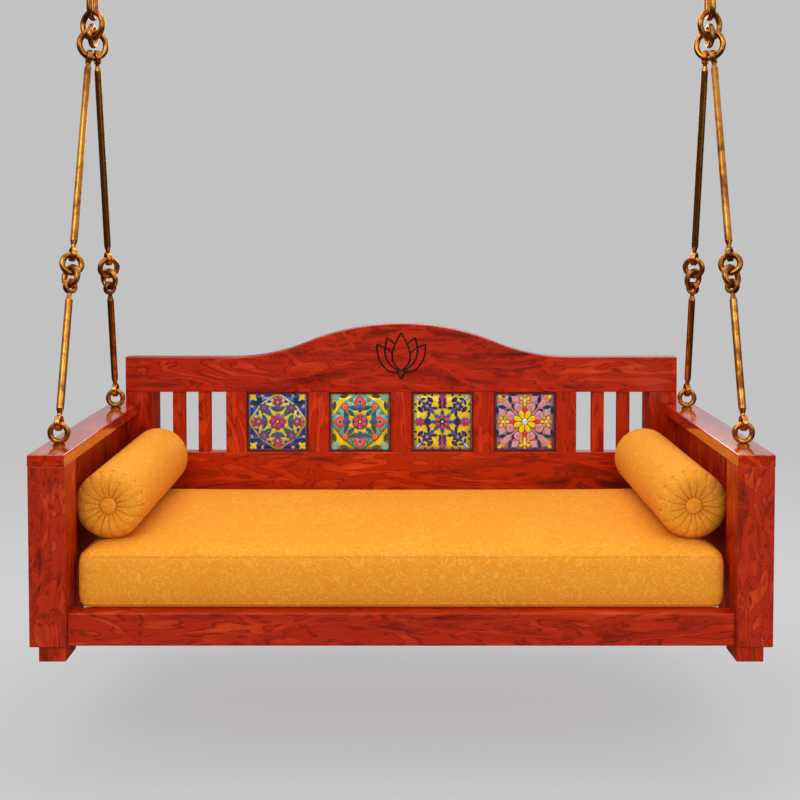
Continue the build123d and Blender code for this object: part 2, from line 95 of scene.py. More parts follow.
class NodeBench:
    """A short way to add and link nodes in one tree."""

    def __init__(self, tree: bpy.types.NodeTree) -> None:
        """Keep the tree that this bench works on."""
        self.tree = tree

    def feed(self, socket: Socket, value: object) -> None:
        """Link a socket or set a value on an input.

        Args:
            socket: The input.
            value: Another node's output to link, or a plain value.
        """
        if isinstance(value, bpy.types.NodeSocket):
            self.tree.links.new(value, socket)
        else:
            socket.default_value = value

    def add(self, kind: str, inputs: dict | None = None, **settings: object) -> bpy.types.Node:
        """Add a node.

        Args:
            kind: Blender's type name of the node.
            inputs: Values or sockets by input name or number.
            settings: The node's own properties.

        Returns:
            The new node.
        """
        node = self.tree.nodes.new(kind)
        for name, value in settings.items():
            setattr(node, name, value)
        for name, value in (inputs or {}).items():
            self.feed(node.inputs[name], value)
        return node

    def math(self, operation: str, a: object, b: object = 0.0, c: object = 0.0) -> Socket:
        """Add a Math node and return its output."""
        return self.add("ShaderNodeMath", {0: a, 1: b, 2: c}, operation=operation).outputs[0]

    def vector(self, operation: str, a: object, b: object = (0.0, 0.0, 0.0)) -> Socket:
        """Add a Vector Math node and return its vector output."""
        return self.add("ShaderNodeVectorMath", {0: a, 1: b}, operation=operation).outputs[0]

    def scaled(self, place: Socket, scale: Sequence[float]) -> Socket:
        """Stretch a place along the axes and return it."""
        return self.add("ShaderNodeMapping", {"Vector": place, "Scale": tuple(scale)}).outputs[0]

    def noise(self, place: Socket, scale: float, detail: float = 2.0, distortion: float = 0.0) -> Socket:
        """Add a Noise texture and return its factor."""
        inputs = {"Vector": place, "Scale": scale, "Detail": detail, "Distortion": distortion}
        return self.add("ShaderNodeTexNoise", inputs).outputs["Fac"]

    def band(self, value: Socket, low: float, high: float) -> Socket:
        """Return how far a value has risen from low to high, smoothly, from 0 to 1."""
        inputs = {"Value": value, "From Min": low, "From Max": high}
        return self.add("ShaderNodeMapRange", inputs, interpolation_type="SMOOTHSTEP").outputs[0]

    def blend(self, factor: object, a: object, b: object, kind: str = "MIX") -> Socket:
        """Add a colour Mix node and return its colour."""
        node = self.add("ShaderNodeMix", {0: factor, 6: a, 7: b}, data_type="RGBA", blend_type=kind)
        return node.outputs[2]

    def ramp(self, factor: Socket, stops: Sequence[tuple[float, Colour]]) -> Socket:
        """Add a Color Ramp and return its colour.

        Args:
            factor: What runs along the ramp.
            stops: Positions and colours, in order.
        """
        node = self.add("ShaderNodeValToRGB", {"Fac": factor})
        elements = node.color_ramp.elements
        while len(elements) < len(stops):
            elements.new(1.0)
        for element, (position, colour) in zip(elements, stops):
            element.position = position
            element.color = colour
        return node.outputs["Color"]

    def bump(self, height: Socket, strength: float, depth: float) -> Socket:
        """Add a Bump node and return its normal."""
        return self.add("ShaderNodeBump", {"Height": height, "Strength": strength, "Distance": depth}).outputs[0]


def start_material(name: str) -> tuple[bpy.types.Material, NodeBench, bpy.types.Node]:
    """Start a node material.

    Args:
        name: The material's name.

    Returns:
        The material, the bench for its tree, and its Principled shader.
    """
    material = bpy.data.materials.new(name)
    material.use_nodes = True
    return material, NodeBench(material.node_tree), material.node_tree.nodes["Principled BSDF"]


def placed(name: str, mesh: bpy.types.Mesh) -> bpy.types.Object:
    """Put a mesh in the scene as an object at the origin."""
    made = bpy.data.objects.new(name, mesh)
    bpy.context.scene.collection.objects.link(made)
    return made


def evaluated_mesh(made: bpy.types.Object) -> bpy.types.Mesh:
    """Return a plain mesh of what an object's modifiers make, and remove the modifiers."""
    graph = bpy.context.evaluated_depsgraph_get()
    graph.update()
    mesh = bpy.data.meshes.new_from_object(made.evaluated_get(graph), depsgraph=graph)
    made.modifiers.clear()
    return mesh


def take_mesh(made: bpy.types.Object, mesh: bpy.types.Mesh) -> None:
    """Give an object another mesh and take its old one out of the file."""
    old = made.data
    made.data = mesh
    bpy.data.meshes.remove(old)


def shade_smooth(mesh: bpy.types.Mesh) -> None:
    """Shade every face of a mesh smoothly."""
    mesh.polygons.foreach_set("use_smooth", [True] * len(mesh.polygons))


def mesh_object(name: str, points: Iterable[Sequence[float]], faces: Iterable[Sequence[int]],
                edges: Iterable[Sequence[int]] = ()) -> bpy.types.Object:
    """Make a smooth-shaded mesh object at the origin and put it in the scene.

    Args:
        name: The object's name.
        points: Its vertices, in metres in the shared frame.
        faces: Its faces, as vertex numbers.
        edges: Loose edges, for paths.

    Returns:
        The new object.
    """
    mesh = bpy.data.meshes.new(name)
    mesh.from_pydata([tuple(p) for p in points], [tuple(e) for e in edges], [tuple(f) for f in faces])
    mesh.validate()
    shade_smooth(mesh)
    return placed(name, mesh)


def turned_shell(name: str, points: Sequence[Point], around: int) -> bpy.types.Object:
    """Make a closed shell from rings of points, with a flat cap on its first and last ring.

    Args:
        name: The object's name.
        points: The rings' points, ring after ring.
        around: How many points each ring has.
    """
    rows = len(points) // around
    faces = [(row * around + i, row * around + (i + 1) % around, (row + 1) * around + (i + 1) % around,
              (row + 1) * around + i) for row in range(rows - 1) for i in range(around)]
    faces.append(tuple(reversed(range(around))))
    faces.append(tuple(range((rows - 1) * around, rows * around)))
    made = mesh_object(name, points, faces)
    shell = bmesh.new()
    shell.from_mesh(made.data)
    bmesh.ops.recalc_face_normals(shell, faces=shell.faces)
    shell.to_mesh(made.data)
    shell.free()
    return made


def path_object(name: str, points: Sequence[Sequence[float]], closed: bool) -> bpy.types.Object:
    """Make a path of edges, for a node tree to follow."""
    edges = [(i, i + 1) for i in range(len(points) - 1)]
    if closed:
        edges.append((len(points) - 1, 0))
    return mesh_object(name, points, [], edges)


def remove(made: bpy.types.Object) -> None:
    """Take an object and its mesh out of the file."""
    mesh = made.data
    bpy.data.objects.remove(made)
    bpy.data.meshes.remove(mesh)


def joined(name: str, parts: Sequence[bpy.types.Object]) -> bpy.types.Object:
    """Join objects into one mesh that keeps each part's materials, and remove the parts.

    Args:
        name: The joined object's name.
        parts: The objects, all at the origin.

    Returns:
        The joined object.
    """
    shell = bmesh.new()
    materials: list[bpy.types.Material] = []
    for part in parts:
        places = []
        for material in part.data.materials:
            if material not in materials:
                materials.append(material)
            places.append(materials.index(material))
        for polygon in part.data.polygons:
            polygon.material_index = places[polygon.material_index] if places else 0
        shell.from_mesh(part.data)
    mesh = bpy.data.meshes.new(name)
    shell.to_mesh(mesh)
    shell.free()
    for material in materials:
        mesh.materials.append(material)
    for part in parts:
        remove(part)
    return placed(name, mesh)


def smooth_through(points: Sequence[Pair], steps: int) -> list[Pair]:
    """Return points on a smooth line through the given ones.

    Args:
        points: The points that the line passes.
        steps: How many pieces each stretch is divided into.
    """
    ends = [points[0], *points, points[-1]]
    line: list[Pair] = []
    for a, b, c, d in zip(ends, ends[1:], ends[2:], ends[3:]):
        for step in range(steps):
            t = step / steps
            line.append(tuple(
                0.5 * (2 * q + (r - p) * t + (2 * p - 5 * q + 4 * r - s) * t * t + (3 * q - p - 3 * r + s) * t ** 3)
                for p, q, r, s in zip(a, b, c, d)))
    line.append(points[-1])
    return line


# ---- Node trees for what repeats or follows a path ----


class ShapeTree:
    """A Geometry Nodes tree with named inputs, which ends in Realize Instances and Set Material."""

    def __init__(self, name: str, sockets: Sequence[tuple[str, str]],
                 build: Callable[[NodeBench, bpy.types.Node], Socket]) -> None:
        """Build the tree.

        Args:
            name: The tree's name.
            sockets: Names and socket types of its inputs, after the geometry.
            build: Makes the shape from the bench and the Group Input node and returns its geometry.
        """
        self.tree = bpy.data.node_groups.new(name, "GeometryNodeTree")
        face = self.tree.interface
        face.new_socket("Geometry", in_out="INPUT", socket_type="NodeSocketGeometry")
        face.new_socket("Geometry", in_out="OUTPUT", socket_type="NodeSocketGeometry")
        for label, kind in sockets:
            face.new_socket(label, in_out="INPUT", socket_type=kind)
        face.new_socket("Finish", in_out="INPUT", socket_type="NodeSocketMaterial")
        bench = NodeBench(self.tree)
        entry = bench.add("NodeGroupInput")
        real = bench.add("GeometryNodeRealizeInstances", {"Geometry": build(bench, entry)})
        painted = bench.add("GeometryNodeSetMaterial",
                            {"Geometry": real.outputs[0], "Material": entry.outputs["Finish"]})
        bench.add("NodeGroupOutput", {"Geometry": painted.outputs[0]})

    def shape(self, name: str, base: bpy.types.Object, finish: bpy.types.Material,
              **sizes: object) -> bpy.types.Object:
        """Run the tree on an object and return the result as a plain mesh object.

        Args:
            name: The new object's name.
            base: The object that the tree starts from. It is removed.
            finish: The material of the result.
            sizes: The tree's inputs by name, with _ for a space.

        Returns:
            The new object.
        """
        modifier = base.modifiers.new("shape", "NODES")
        modifier.node_group = self.tree
        values = {key.replace("_", " "): value for key, value in sizes.items()} | {"Finish": finish}
        for item in self.tree.interface.items_tree:
            if item.in_out == "INPUT" and item.name in values:
                modifier[item.identifier] = values[item.name]
        mesh = evaluated_mesh(base)
        mesh.name = name
        remove(base)
        return placed(name, mesh)


def sweep_round(bench: NodeBench, entry: bpy.types.Node) -> Socket:
    """Sweep a round cord along the path."""
    line = bench.add("GeometryNodeMeshToCurve", {"Mesh": entry.outputs["Geometry"]})
    profile = bench.add("GeometryNodeCurvePrimitiveCircle",
                        {"Resolution": entry.outputs["Sides"], "Radius": entry.outputs["Radius"]})
    swept = bench.add("GeometryNodeCurveToMesh",
                      {"Curve": line.outputs[0], "Profile Curve": profile.outputs[0], "Fill Caps": True})
    return swept.outputs[0]


def sew_stitches(bench: NodeBench, entry: bpy.types.Node) -> Socket:
    """Lay small thread stitches along the path, a pitch apart."""
    line = bench.add("GeometryNodeMeshToCurve", {"Mesh": entry.outputs["Geometry"]})
    spots = bench.add("GeometryNodeCurveToPoints",
                      {"Curve": line.outputs[0], "Length": entry.outputs["Pitch"]}, mode="LENGTH")
    thread = bench.add("GeometryNodeMeshUVSphere", {"Segments": 6, "Rings": 5, "Radius": 0.5})
    size = bench.add("ShaderNodeCombineXYZ", {"X": entry.outputs["Thickness"], "Y": entry.outputs["Thickness"],
                                              "Z": entry.outputs["Length"]})
    laid = bench.add("GeometryNodeInstanceOnPoints",
                     {"Points": spots.outputs["Points"], "Instance": thread.outputs[0],
                      "Rotation": spots.outputs["Rotation"], "Scale": size.outputs[0]})
    return laid.outputs[0]


def ring_of_motifs(bench: NodeBench, entry: bpy.types.Node) -> Socket:
    """Set copies of a motif round a tile's centre, on an upright plane that faces -Y."""
    number = bench.add("GeometryNodeInputIndex").outputs[0]
    step = bench.math("DIVIDE", math.tau, entry.outputs["Copies"])
    angle = bench.math("MULTIPLY_ADD", number, step, entry.outputs["Start"])
    radius = entry.outputs["Radius"]
    spot = bench.add("ShaderNodeCombineXYZ",
                     {"X": bench.math("MULTIPLY", bench.math("COSINE", angle), radius),
                      "Z": bench.math("MULTIPLY", bench.math("SINE", angle), radius)}).outputs[0]
    spots = bench.add("GeometryNodePoints",
                      {"Count": entry.outputs["Copies"],
                       "Position": bench.vector("ADD", spot, entry.outputs["Centre"])})
    turned = bench.math("MULTIPLY", bench.math("ADD", angle, entry.outputs["Turn"]), -1.0)
    turn = bench.add("ShaderNodeCombineXYZ", {"Y": turned}).outputs[0]
    laid = bench.add("GeometryNodeInstanceOnPoints",
                     {"Points": spots.outputs[0], "Instance": entry.outputs["Geometry"], "Rotation": turn})
    return laid.outputs[0]


# ---- Finishes ----


class GrainAxis(Enum):
    """The axis along which a wooden member's grain runs."""

    X = 0
    Y = 1
    Z = 2


@dataclass(frozen=True)
class Finish:
    """A named finish, whose material is built on first use."""

    name: str

    def material(self) -> bpy.types.Material:
        """Return the finish's material."""
        known = bpy.data.materials.get(self.name)
        if known:
            return known
        material, bench, shader = start_material(self.name)
        self.lay(bench, shader)
        return material

    def lay(self, bench: NodeBench, shader: bpy.types.Node) -> None:
        """Build the finish's nodes.

        Args:
            bench: The bench for the material's tree.
            shader: The tree's Principled shader.
        """
        raise NotImplementedError


@dataclass(frozen=True)
class WoodFinish(Finish):
    """Red hardwood with a dark flame figure, under a clear gloss."""

    grain: GrainAxis
    dark: Colour = screen_colour(84, 12, 2)
    warm: Colour = screen_colour(176, 35, 0)
    bright: Colour = screen_colour(218, 72, 14)
    figure_scale: float = 20.0
    figure_lines: float = 4.5
    stretch: float = 0.22
    roughness: float = 0.34
    coat: float = 0.15
    coat_roughness: float = 0.12
    specular: float = 0.22

    def lay(self, bench: NodeBench, shader: bpy.types.Node) -> None:
        """Build the finish's nodes."""
        place = bench.add("ShaderNodeTexCoord").outputs["Object"]
        sway = bench.add("ShaderNodeTexNoise", {"Vector": place, "Scale": 5.0, "Detail": 1.0}).outputs["Color"]
        sway = bench.add("ShaderNodeVectorMath", {0: sway, "Scale": 0.035}, operation="SCALE").outputs[0]
        wandering = bench.vector("ADD", place, sway)
        squeeze = [1.0, 1.0, 1.0]
        squeeze[self.grain.value] = self.stretch
        member = bench.scaled(wandering, squeeze)
        squeeze[self.grain.value] = 0.035
        lengthwise = bench.scaled(wandering, squeeze)

        hills = bench.noise(member, self.figure_scale, 3.0, 0.9)
        rings = bench.math("SINE", bench.math("MULTIPLY", hills, math.tau * self.figure_lines))
        flame = bench.math("MULTIPLY_ADD", rings, 0.5, 0.5)
        edges = bench.math("SUBTRACT", 1.0, bench.band(bench.math("ABSOLUTE", rings), 0.05, 0.40))
        clouds = bench.noise(member, self.figure_scale * 0.8, 4.0, 0.4)
        fibre = bench.noise(lengthwise, 420.0, 4.0, 0.2)
        streaks = bench.noise(lengthwise, 90.0, 3.0, 0.4)
        tone = bench.math("MULTIPLY_ADD", flame, 0.21, bench.math("MULTIPLY", clouds, 0.60))
        tone = bench.math("MULTIPLY_ADD", streaks, 0.36, tone)
        tone = bench.math("MULTIPLY_ADD", fibre, 0.16, tone)
        colour = bench.ramp(tone, [(0.40, self.dark), (0.60, self.warm), (0.72, self.warm), (1.0, self.bright)])
        colour = bench.blend(bench.math("MULTIPLY", edges, 0.55), colour, self.dark)

        flecks = bench.add("ShaderNodeTexVoronoi", {"Vector": lengthwise, "Scale": 130.0}).outputs["Distance"]
        sparse = bench.band(bench.noise(place, 34.0, 2.0), 0.50, 0.62)
        pores = bench.math("MULTIPLY", bench.math("SUBTRACT", 1.0, bench.band(flecks, 0.06, 0.16)), sparse)
        colour = bench.blend(bench.math("MULTIPLY", pores, 0.55), colour, self.dark)
        bench.feed(shader.inputs["Base Color"], colour)

        polish = bench.math("MULTIPLY_ADD", bench.noise(place, 14.0, 3.0), 0.12, self.roughness - 0.06)
        bench.feed(shader.inputs["Roughness"], bench.math("MULTIPLY_ADD", pores, 0.2, polish))
        relief = bench.math("SUBTRACT", bench.math("MULTIPLY", fibre, 0.5), pores)
        bench.feed(shader.inputs["Normal"], bench.bump(relief, 0.12, 0.0004))
        shader.inputs["Coat Weight"].default_value = self.coat
        shader.inputs["Coat Roughness"].default_value = self.coat_roughness
        shader.inputs["Specular IOR Level"].default_value = self.specular


@dataclass(frozen=True)
class BrassFinish(Finish):
    """Antique brass: bright where it is rubbed, brown where the patina lies."""

    bright: Colour = screen_colour(206, 138, 58)
    brown: Colour = screen_colour(124, 70, 22)
    roughness: float = 0.22

    def lay(self, bench: NodeBench, shader: bpy.types.Node) -> None:
        """Build the finish's nodes."""
        place = bench.add("ShaderNodeTexCoord").outputs["Object"]
        patina = bench.noise(place, 42.0, 5.0, 0.5)
        broad = bench.noise(place, 9.0, 2.0)
        worn = bench.math("MULTIPLY_ADD", broad, 0.45, bench.math("MULTIPLY", patina, 0.6))
        colour = bench.ramp(worn, [(0.38, self.brown), (0.60, self.bright)])
        bench.feed(shader.inputs["Base Color"], colour)
        scratches = bench.noise(bench.scaled(place, (1.0, 1.0, 0.08)), 700.0, 2.0)
        rough = bench.math("MULTIPLY_ADD", bench.band(worn, 0.36, 0.66), -0.16, self.roughness + 0.14)
        bench.feed(shader.inputs["Roughness"], bench.math("MULTIPLY_ADD", scratches, 0.08, rough))
        fine = bench.math("MULTIPLY", scratches, 0.3)
        dents = bench.math("MULTIPLY_ADD", bench.noise(place, 120.0, 2.0), 0.7, fine)
        bench.feed(shader.inputs["Normal"], bench.bump(dents, 0.25, 0.0006))
        shader.inputs["Metallic"].default_value = 1.0


@dataclass(frozen=True)
class ClothFinish(Finish):
    """Upholstery cloth with a fine weave and embossed swirls in its own colour, and painted shade where it is
    gathered in folds.
    """

    light: Colour = screen_colour(237, 162, 58)
    deep: Colour = screen_colour(228, 143, 36)
    # The colour of the painted shade in gathered folds.
    shaded: Colour = screen_colour(122, 60, 8)
    thread: float = 0.0016
    swirl: float = 0.020
    swirl_lines: float = 5.5
    relief: float = 0.45

    def lay(self, bench: NodeBench, shader: bpy.types.Node) -> None:
        """Build the finish's nodes."""
        coords = bench.add("ShaderNodeTexCoord")
        place = coords.outputs["Object"]
        loops = bench.noise(place, 1 / self.swirl, 1.0, 0.9)
        loops = bench.math("ABSOLUTE", bench.math("SINE", bench.math("MULTIPLY", loops, math.pi * self.swirl_lines)))
        curls = bench.math("SUBTRACT", 1.0, bench.band(loops, 0.15, 0.75))

        axes = bench.add("ShaderNodeSeparateXYZ", {0: place}).outputs
        facing = bench.add("ShaderNodeSeparateXYZ", {0: bench.vector("ABSOLUTE", coords.outputs["Normal"])}).outputs
        wave = [bench.math("SINE", bench.math("MULTIPLY", axis, math.tau / self.thread)) for axis in axes]
        weave: Socket | None = None
        total: Socket | None = None
        for index in range(3):
            share = bench.math("POWER", facing[index], 5.0)
            crossing = bench.math("MULTIPLY", wave[(index + 1) % 3], wave[(index + 2) % 3])
            crossing = bench.math("MULTIPLY", crossing, share)
            weave = crossing if weave is None else bench.math("ADD", weave, crossing)
            total = share if total is None else bench.math("ADD", total, share)
        weave = bench.math("MULTIPLY_ADD", bench.math("DIVIDE", weave, total), 0.5, 0.5)

        wear = bench.noise(place, 6.0, 3.0)
        slubs = bench.noise(place, 260.0, 2.0)
        tone = bench.math("MULTIPLY_ADD", weave, 0.16, bench.math("MULTIPLY", wear, 0.4))
        tone = bench.math("MULTIPLY_ADD", slubs, 0.3, tone)
        tone = bench.math("MULTIPLY_ADD", curls, 0.55, tone)
        colour = bench.ramp(tone, [(0.40, self.deep), (1.0, self.light)])
        # Painted shade: the fold attribute darkens the cloth towards the shaded colour in pleat creases and round
        # the buttons.
        fold_shading = bench.add("ShaderNodeAttribute", attribute_name=PAINTED_FOLD_SHADE).outputs["Fac"]
        bench.feed(shader.inputs["Base Color"], bench.blend(bench.math("MULTIPLY", fold_shading, 0.8), colour, self.shaded))
        height = bench.math("MULTIPLY_ADD", curls, 0.7, bench.math("MULTIPLY", weave, 0.25))
        bench.feed(shader.inputs["Normal"], bench.bump(height, self.relief, 0.0006))
        shader.inputs["Roughness"].default_value = 0.82
        shader.inputs["Sheen Weight"].default_value = 0.04
        shader.inputs["Sheen Roughness"].default_value = 0.45
        shader.inputs["Sheen Tint"].default_value = screen_colour(255, 214, 140)
        shader.inputs["Specular IOR Level"].default_value = 0.08


@dataclass(frozen=True)
class GlazeFinish(Finish):
    """Hand-painted glaze that pools a little and is finely crazed."""

    colour: Colour

    def lay(self, bench: NodeBench, shader: bpy.types.Node) -> None:
        """Build the finish's nodes."""
        place = bench.add("ShaderNodeTexCoord").outputs["Object"]
        brush = bench.noise(bench.scaled(place, (1.0, 1.0, 0.45)), 190.0, 3.0, 0.5)
        pooled = bench.blend(bench.band(brush, 0.35, 0.75), (0.80, 0.80, 0.84, 1.0), (1.0, 1.0, 1.0, 1.0))
        crazing = bench.add("ShaderNodeTexVoronoi", {"Vector": place, "Scale": 210.0},
                            feature="DISTANCE_TO_EDGE").outputs["Distance"]
        crack = bench.math("MULTIPLY", bench.math("SUBTRACT", 1.0, bench.band(crazing, 0.0, 0.03)), 0.16)
        colour = bench.blend(1.0, self.colour, pooled, "MULTIPLY")
        bench.feed(shader.inputs["Base Color"], bench.blend(crack, colour, screen_colour(90, 70, 50)))
        bench.feed(shader.inputs["Roughness"], bench.math("MULTIPLY_ADD", brush, 0.12, 0.14))
        bench.feed(shader.inputs["Normal"], bench.bump(brush, 0.12, 0.0004))
        shader.inputs["Coat Weight"].default_value = 0.6
        shader.inputs["Coat Roughness"].default_value = 0.06


class Glaze(Enum):
    """The glazes of the painted tiles."""

    BLUE = GlazeFinish("glaze_cobalt", screen_colour(6, 84, 190))
    SKY = GlazeFinish("glaze_pale_blue", screen_colour(120, 150, 200))
    YELLOW = GlazeFinish("glaze_lemon", screen_colour(250, 228, 22))
    AMBER = GlazeFinish("glaze_amber", screen_colour(238, 172, 34))
    MAUVE = GlazeFinish("glaze_mauve", screen_colour(140, 74, 140))
    SLATE = GlazeFinish("glaze_slate_blue", screen_colour(72, 92, 150))
    TEAL = GlazeFinish("glaze_teal", screen_colour(52, 110, 124))
    SCARLET = GlazeFinish("glaze_scarlet", screen_colour(240, 66, 44))
    ROSE = GlazeFinish("glaze_rose", screen_colour(226, 52, 98))
    CORAL = GlazeFinish("glaze_coral", screen_colour(234, 86, 78))
    AQUA = GlazeFinish("glaze_turquoise", screen_colour(88, 212, 208))
    OLIVE = GlazeFinish("glaze_olive", screen_colour(84, 92, 52))
    INDIGO = GlazeFinish("glaze_indigo", screen_colour(52, 46, 118))
    NAVY = GlazeFinish("glaze_navy", screen_colour(8, 62, 112))
    PINK = GlazeFinish("glaze_dusty_pink", screen_colour(212, 146, 160))
    BLUSH = GlazeFinish("glaze_blush", screen_colour(230, 172, 178))
    PEACH = GlazeFinish("glaze_peach", screen_colour(236, 158, 116))
    WHITE = GlazeFinish("glaze_white", screen_colour(244, 244, 240))
    INK = GlazeFinish("glaze_brown_ink", screen_colour(74, 40, 34))


WOOD_LONG = WoodFinish("red_hardwood_lengthwise", GrainAxis.X)
WOOD_UPRIGHT = WoodFinish("red_hardwood_upright", GrainAxis.Z)
WOOD_POST = WoodFinish("red_hardwood_post", GrainAxis.Z, figure_scale=24.0, figure_lines=3.5, stretch=0.45,
                       warm=screen_colour(176, 38, 2), bright=screen_colour(222, 80, 24))
WOOD_ARM = WoodFinish("red_hardwood_arm", GrainAxis.Y, roughness=0.2, coat=1.0, coat_roughness=0.08)
WOOD_DEEP = WoodFinish("red_hardwood_across", GrainAxis.Y)
WOOD_BEAD = WoodFinish("red_hardwood_bead", GrainAxis.Z, warm=screen_colour(104, 20, 6),
                       bright=screen_colour(132, 30, 8))
WOOD_PLAIN = WoodFinish("red_hardwood_unpolished", GrainAxis.Y, roughness=0.5, coat=0.1)
# Near-black colour of the lotus grooves: painted shade of the carving.
CARVING_SHADE = WoodFinish("carving_painted_shade", GrainAxis.X, dark=screen_colour(8, 5, 4), warm=screen_colour(16, 9, 7),
                         bright=screen_colour(26, 14, 10), roughness=0.5, coat=0.2)
BRASS = BrassFinish("rubbed_brass")
CLOTH = ClothFinish("swirled_cloth")
THREAD = ClothFinish("mustard_thread", light=screen_colour(246, 180, 80), deep=screen_colour(222, 146, 50),
                     thread=0.0008, relief=0.2)


# ---- Wooden frame and fittings ----


@dataclass
class Bench:
    """The wooden bench and its brass fittings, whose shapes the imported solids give."""

    finishes: dict[str, Finish] = field(default_factory=lambda: {
        "front_post": WOOD_POST, "arm_rail": WOOD_ARM, "back_post": WOOD_UPRIGHT, "feet": WOOD_UPRIGHT,
        "side_boards": WOOD_UPRIGHT, "back_slats": WOOD_UPRIGHT, "tile_stiles": WOOD_UPRIGHT,
        "tile_beads": WOOD_BEAD, "tile_boards": WOOD_PLAIN, "side_rail": WOOD_DEEP,
        "seat_slats": WOOD_PLAIN, "seat_bearer": WOOD_PLAIN, "seat_ledgers": WOOD_LONG,
        "front_rail": WOOD_LONG, "back_rail": WOOD_LONG, "lower_back_rail": WOOD_LONG, "crest_rail": WOOD_LONG,
    })

    def dress(self, nodes: dict[str, bpy.types.Object]) -> None:
        """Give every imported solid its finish: wood by its member, and brass for the rest.

        Args:
            nodes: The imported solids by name.
        """
        for name, node in nodes.items():
            finish = next((f for stem, f in self.finishes.items() if name.startswith(stem)), BRASS)
            node.data.materials.clear()
            node.data.materials.append(finish.material())
        log.info("bench: %d solids dressed", len(nodes))


@dataclass
class LotusCarving:
    """The lotus cut into the crest rail, as shallow grooves coloured near black as painted shade."""

    groove_radius: float = 2.3 * MM
    sunk: float = 0.35 * MM
    steps: int = 5
    strokes: tuple[tuple[Pair, ...], ...] = (
        ((0.0, 614.3), (8.5, 599.4), (16.0, 584.1), (21.4, 568.2), (23.5, 554.0), (20.6, 538.0), (13.9, 527.4),
         (5.4, 519.2), (0.0, 516.6)),
        ((37.1, 602.2), (16.5, 585.7)),
        ((37.1, 602.2), (41.5, 575.6), (42.0, 561.7), (36.6, 542.4), (24.7, 527.4), (11.9, 519.8), (3.9, 516.6)),
        ((62.9, 584.3), (41.5, 575.1), (31.2, 569.2), (24.0, 560.7)),
        ((62.9, 584.3), (62.4, 566.1), (57.0, 544.4), (46.1, 527.4), (33.3, 515.6), (20.4, 511.7), (8.5, 514.0),
         (1.3, 517.1)),
        ((10.3, 512.2), (0.0, 493.7)),
    )

    def cutters(self, face_y: float, tree: ShapeTree) -> bpy.types.Object:
        """Sweep the groove's round section along each stroke and its mirror image.

        Args:
            face_y: The crest rail's front face, in metres.
            tree: The tree that sweeps a round section along a path.

        Returns:
            One mesh with all the swept strokes.
        """
        swept = []
        for number, stroke in enumerate(self.strokes):
            line = smooth_through(stroke, self.steps)
            for side in (1, -1):
                path = [(side * x * MM, face_y + self.sunk, z * MM) for x, z in line]
                swept.append(tree.shape(f"stroke_{number}_{side + 1}", path_object("stroke", path, False),
                                        CARVING_SHADE.material(), Radius=self.groove_radius, Sides=10))
        return joined("lotus_cutters", swept)

    def carve(self, crest: bpy.types.Object, tree: ShapeTree) -> bpy.types.Object:
        """Cut the grooves into a copy of the crest rail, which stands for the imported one.

        Args:
            crest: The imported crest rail.
            tree: The tree that sweeps a round section along a path.

        Returns:
            The carved crest rail.
        """
        low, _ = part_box("crest_rail")
        carved = placed("crest_rail_carved", crest.data.copy())
        shell = bmesh.new()
        shell.from_mesh(carved.data)
        bmesh.ops.remove_doubles(shell, verts=shell.verts, dist=1e-6)
        bmesh.ops.dissolve_limit(shell, angle_limit=math.radians(0.05), verts=shell.verts, edges=shell.edges)
        shell.to_mesh(carved.data)
        shell.free()
        cutter = self.cutters(low.y, tree)
        carved.data.materials.clear()
        carved.data.materials.append(WOOD_LONG.material())
        cut = carved.modifiers.new("carve", "BOOLEAN")
        cut.operation, cut.solver, cut.object, cut.use_self = "DIFFERENCE", "EXACT", cutter, True
        # The groove faces take the cutters' near-black painted shade.
        cut.material_mode = "TRANSFER"
        mesh = evaluated_mesh(carved)
        carved.data = mesh
        remove(cutter)
        shade_smooth(mesh)
        mesh.set_sharp_from_angle(angle=math.radians(40))
        even = carved.modifiers.new("even_shading", "WEIGHTED_NORMAL")
        even.keep_sharp, even.weight, even.thresh = True, 100, 0.01
        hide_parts("crest_rail")
        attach(carved, "seat")
        log.info("lotus: %d strokes, %d faces on the crest rail", 2 * len(self.strokes), len(mesh.polygons))
        return carved


# ---- Painted tiles ----


class Outline(Enum):
    """The outlines of the painted motifs, each drawn with its tip towards +X."""

    DISC = "disc"
    PETAL = "petal"
    LEAF = "leaf"
    DROP = "drop"
    DIAMOND = "diamond"
    ROSETTE = "rosette"
    MEDALLION = "medallion"
    STAR = "star"
    PANEL = "panel"

    def points(self, length: float, width: float) -> list[Pair]:
        """Return the outline's points, anticlockwise.

        Args:
            length: The motif's whole length along X.
            width: Its whole width.
        """
        fine = {Outline.MEDALLION: 112, Outline.ROSETTE: 56, Outline.STAR: 32, Outline.PANEL: 4}.get(self, 24)
        return [self.at(math.tau * i / fine, length / 2, width / 2) for i in range(fine)]

    def at(self, t: float, a: float, b: float) -> Pair:
        """Return the outline's point at an angle, for half sizes a and b."""
        c, s = math.cos(t), math.sin(t)
        if self is Outline.PETAL:
            return a * c, b * s * (1 + 0.28 * c)
        if self is Outline.LEAF:
            return a * c, b * s * abs(s) ** 0.8
        if self is Outline.DROP:
            return a * c, b * s * (1.05 - c) ** 0.75 * 0.86
        if self is Outline.DIAMOND:
            return a * c * abs(c) ** 0.5, b * s * abs(s) ** 0.5
        if self is Outline.ROSETTE:
            r = 1 + 0.16 * math.cos(7 * t)
            return a * c * r / 1.16, b * s * r / 1.16
        if self is Outline.MEDALLION:
            r = 0.865 + 0.135 * abs(math.cos(2 * t)) ** 6
            return a * c * r, b * s * r
        if self is Outline.STAR:
            r = 0.74 + 0.26 * math.cos(8 * t)
            return a * c * r, b * s * r
        if self is Outline.PANEL:
            corner = math.sqrt(2)
            turned = t + math.pi / 4
            return a * corner * math.cos(turned), b * corner * math.sin(turned)
        return a * c, b * s


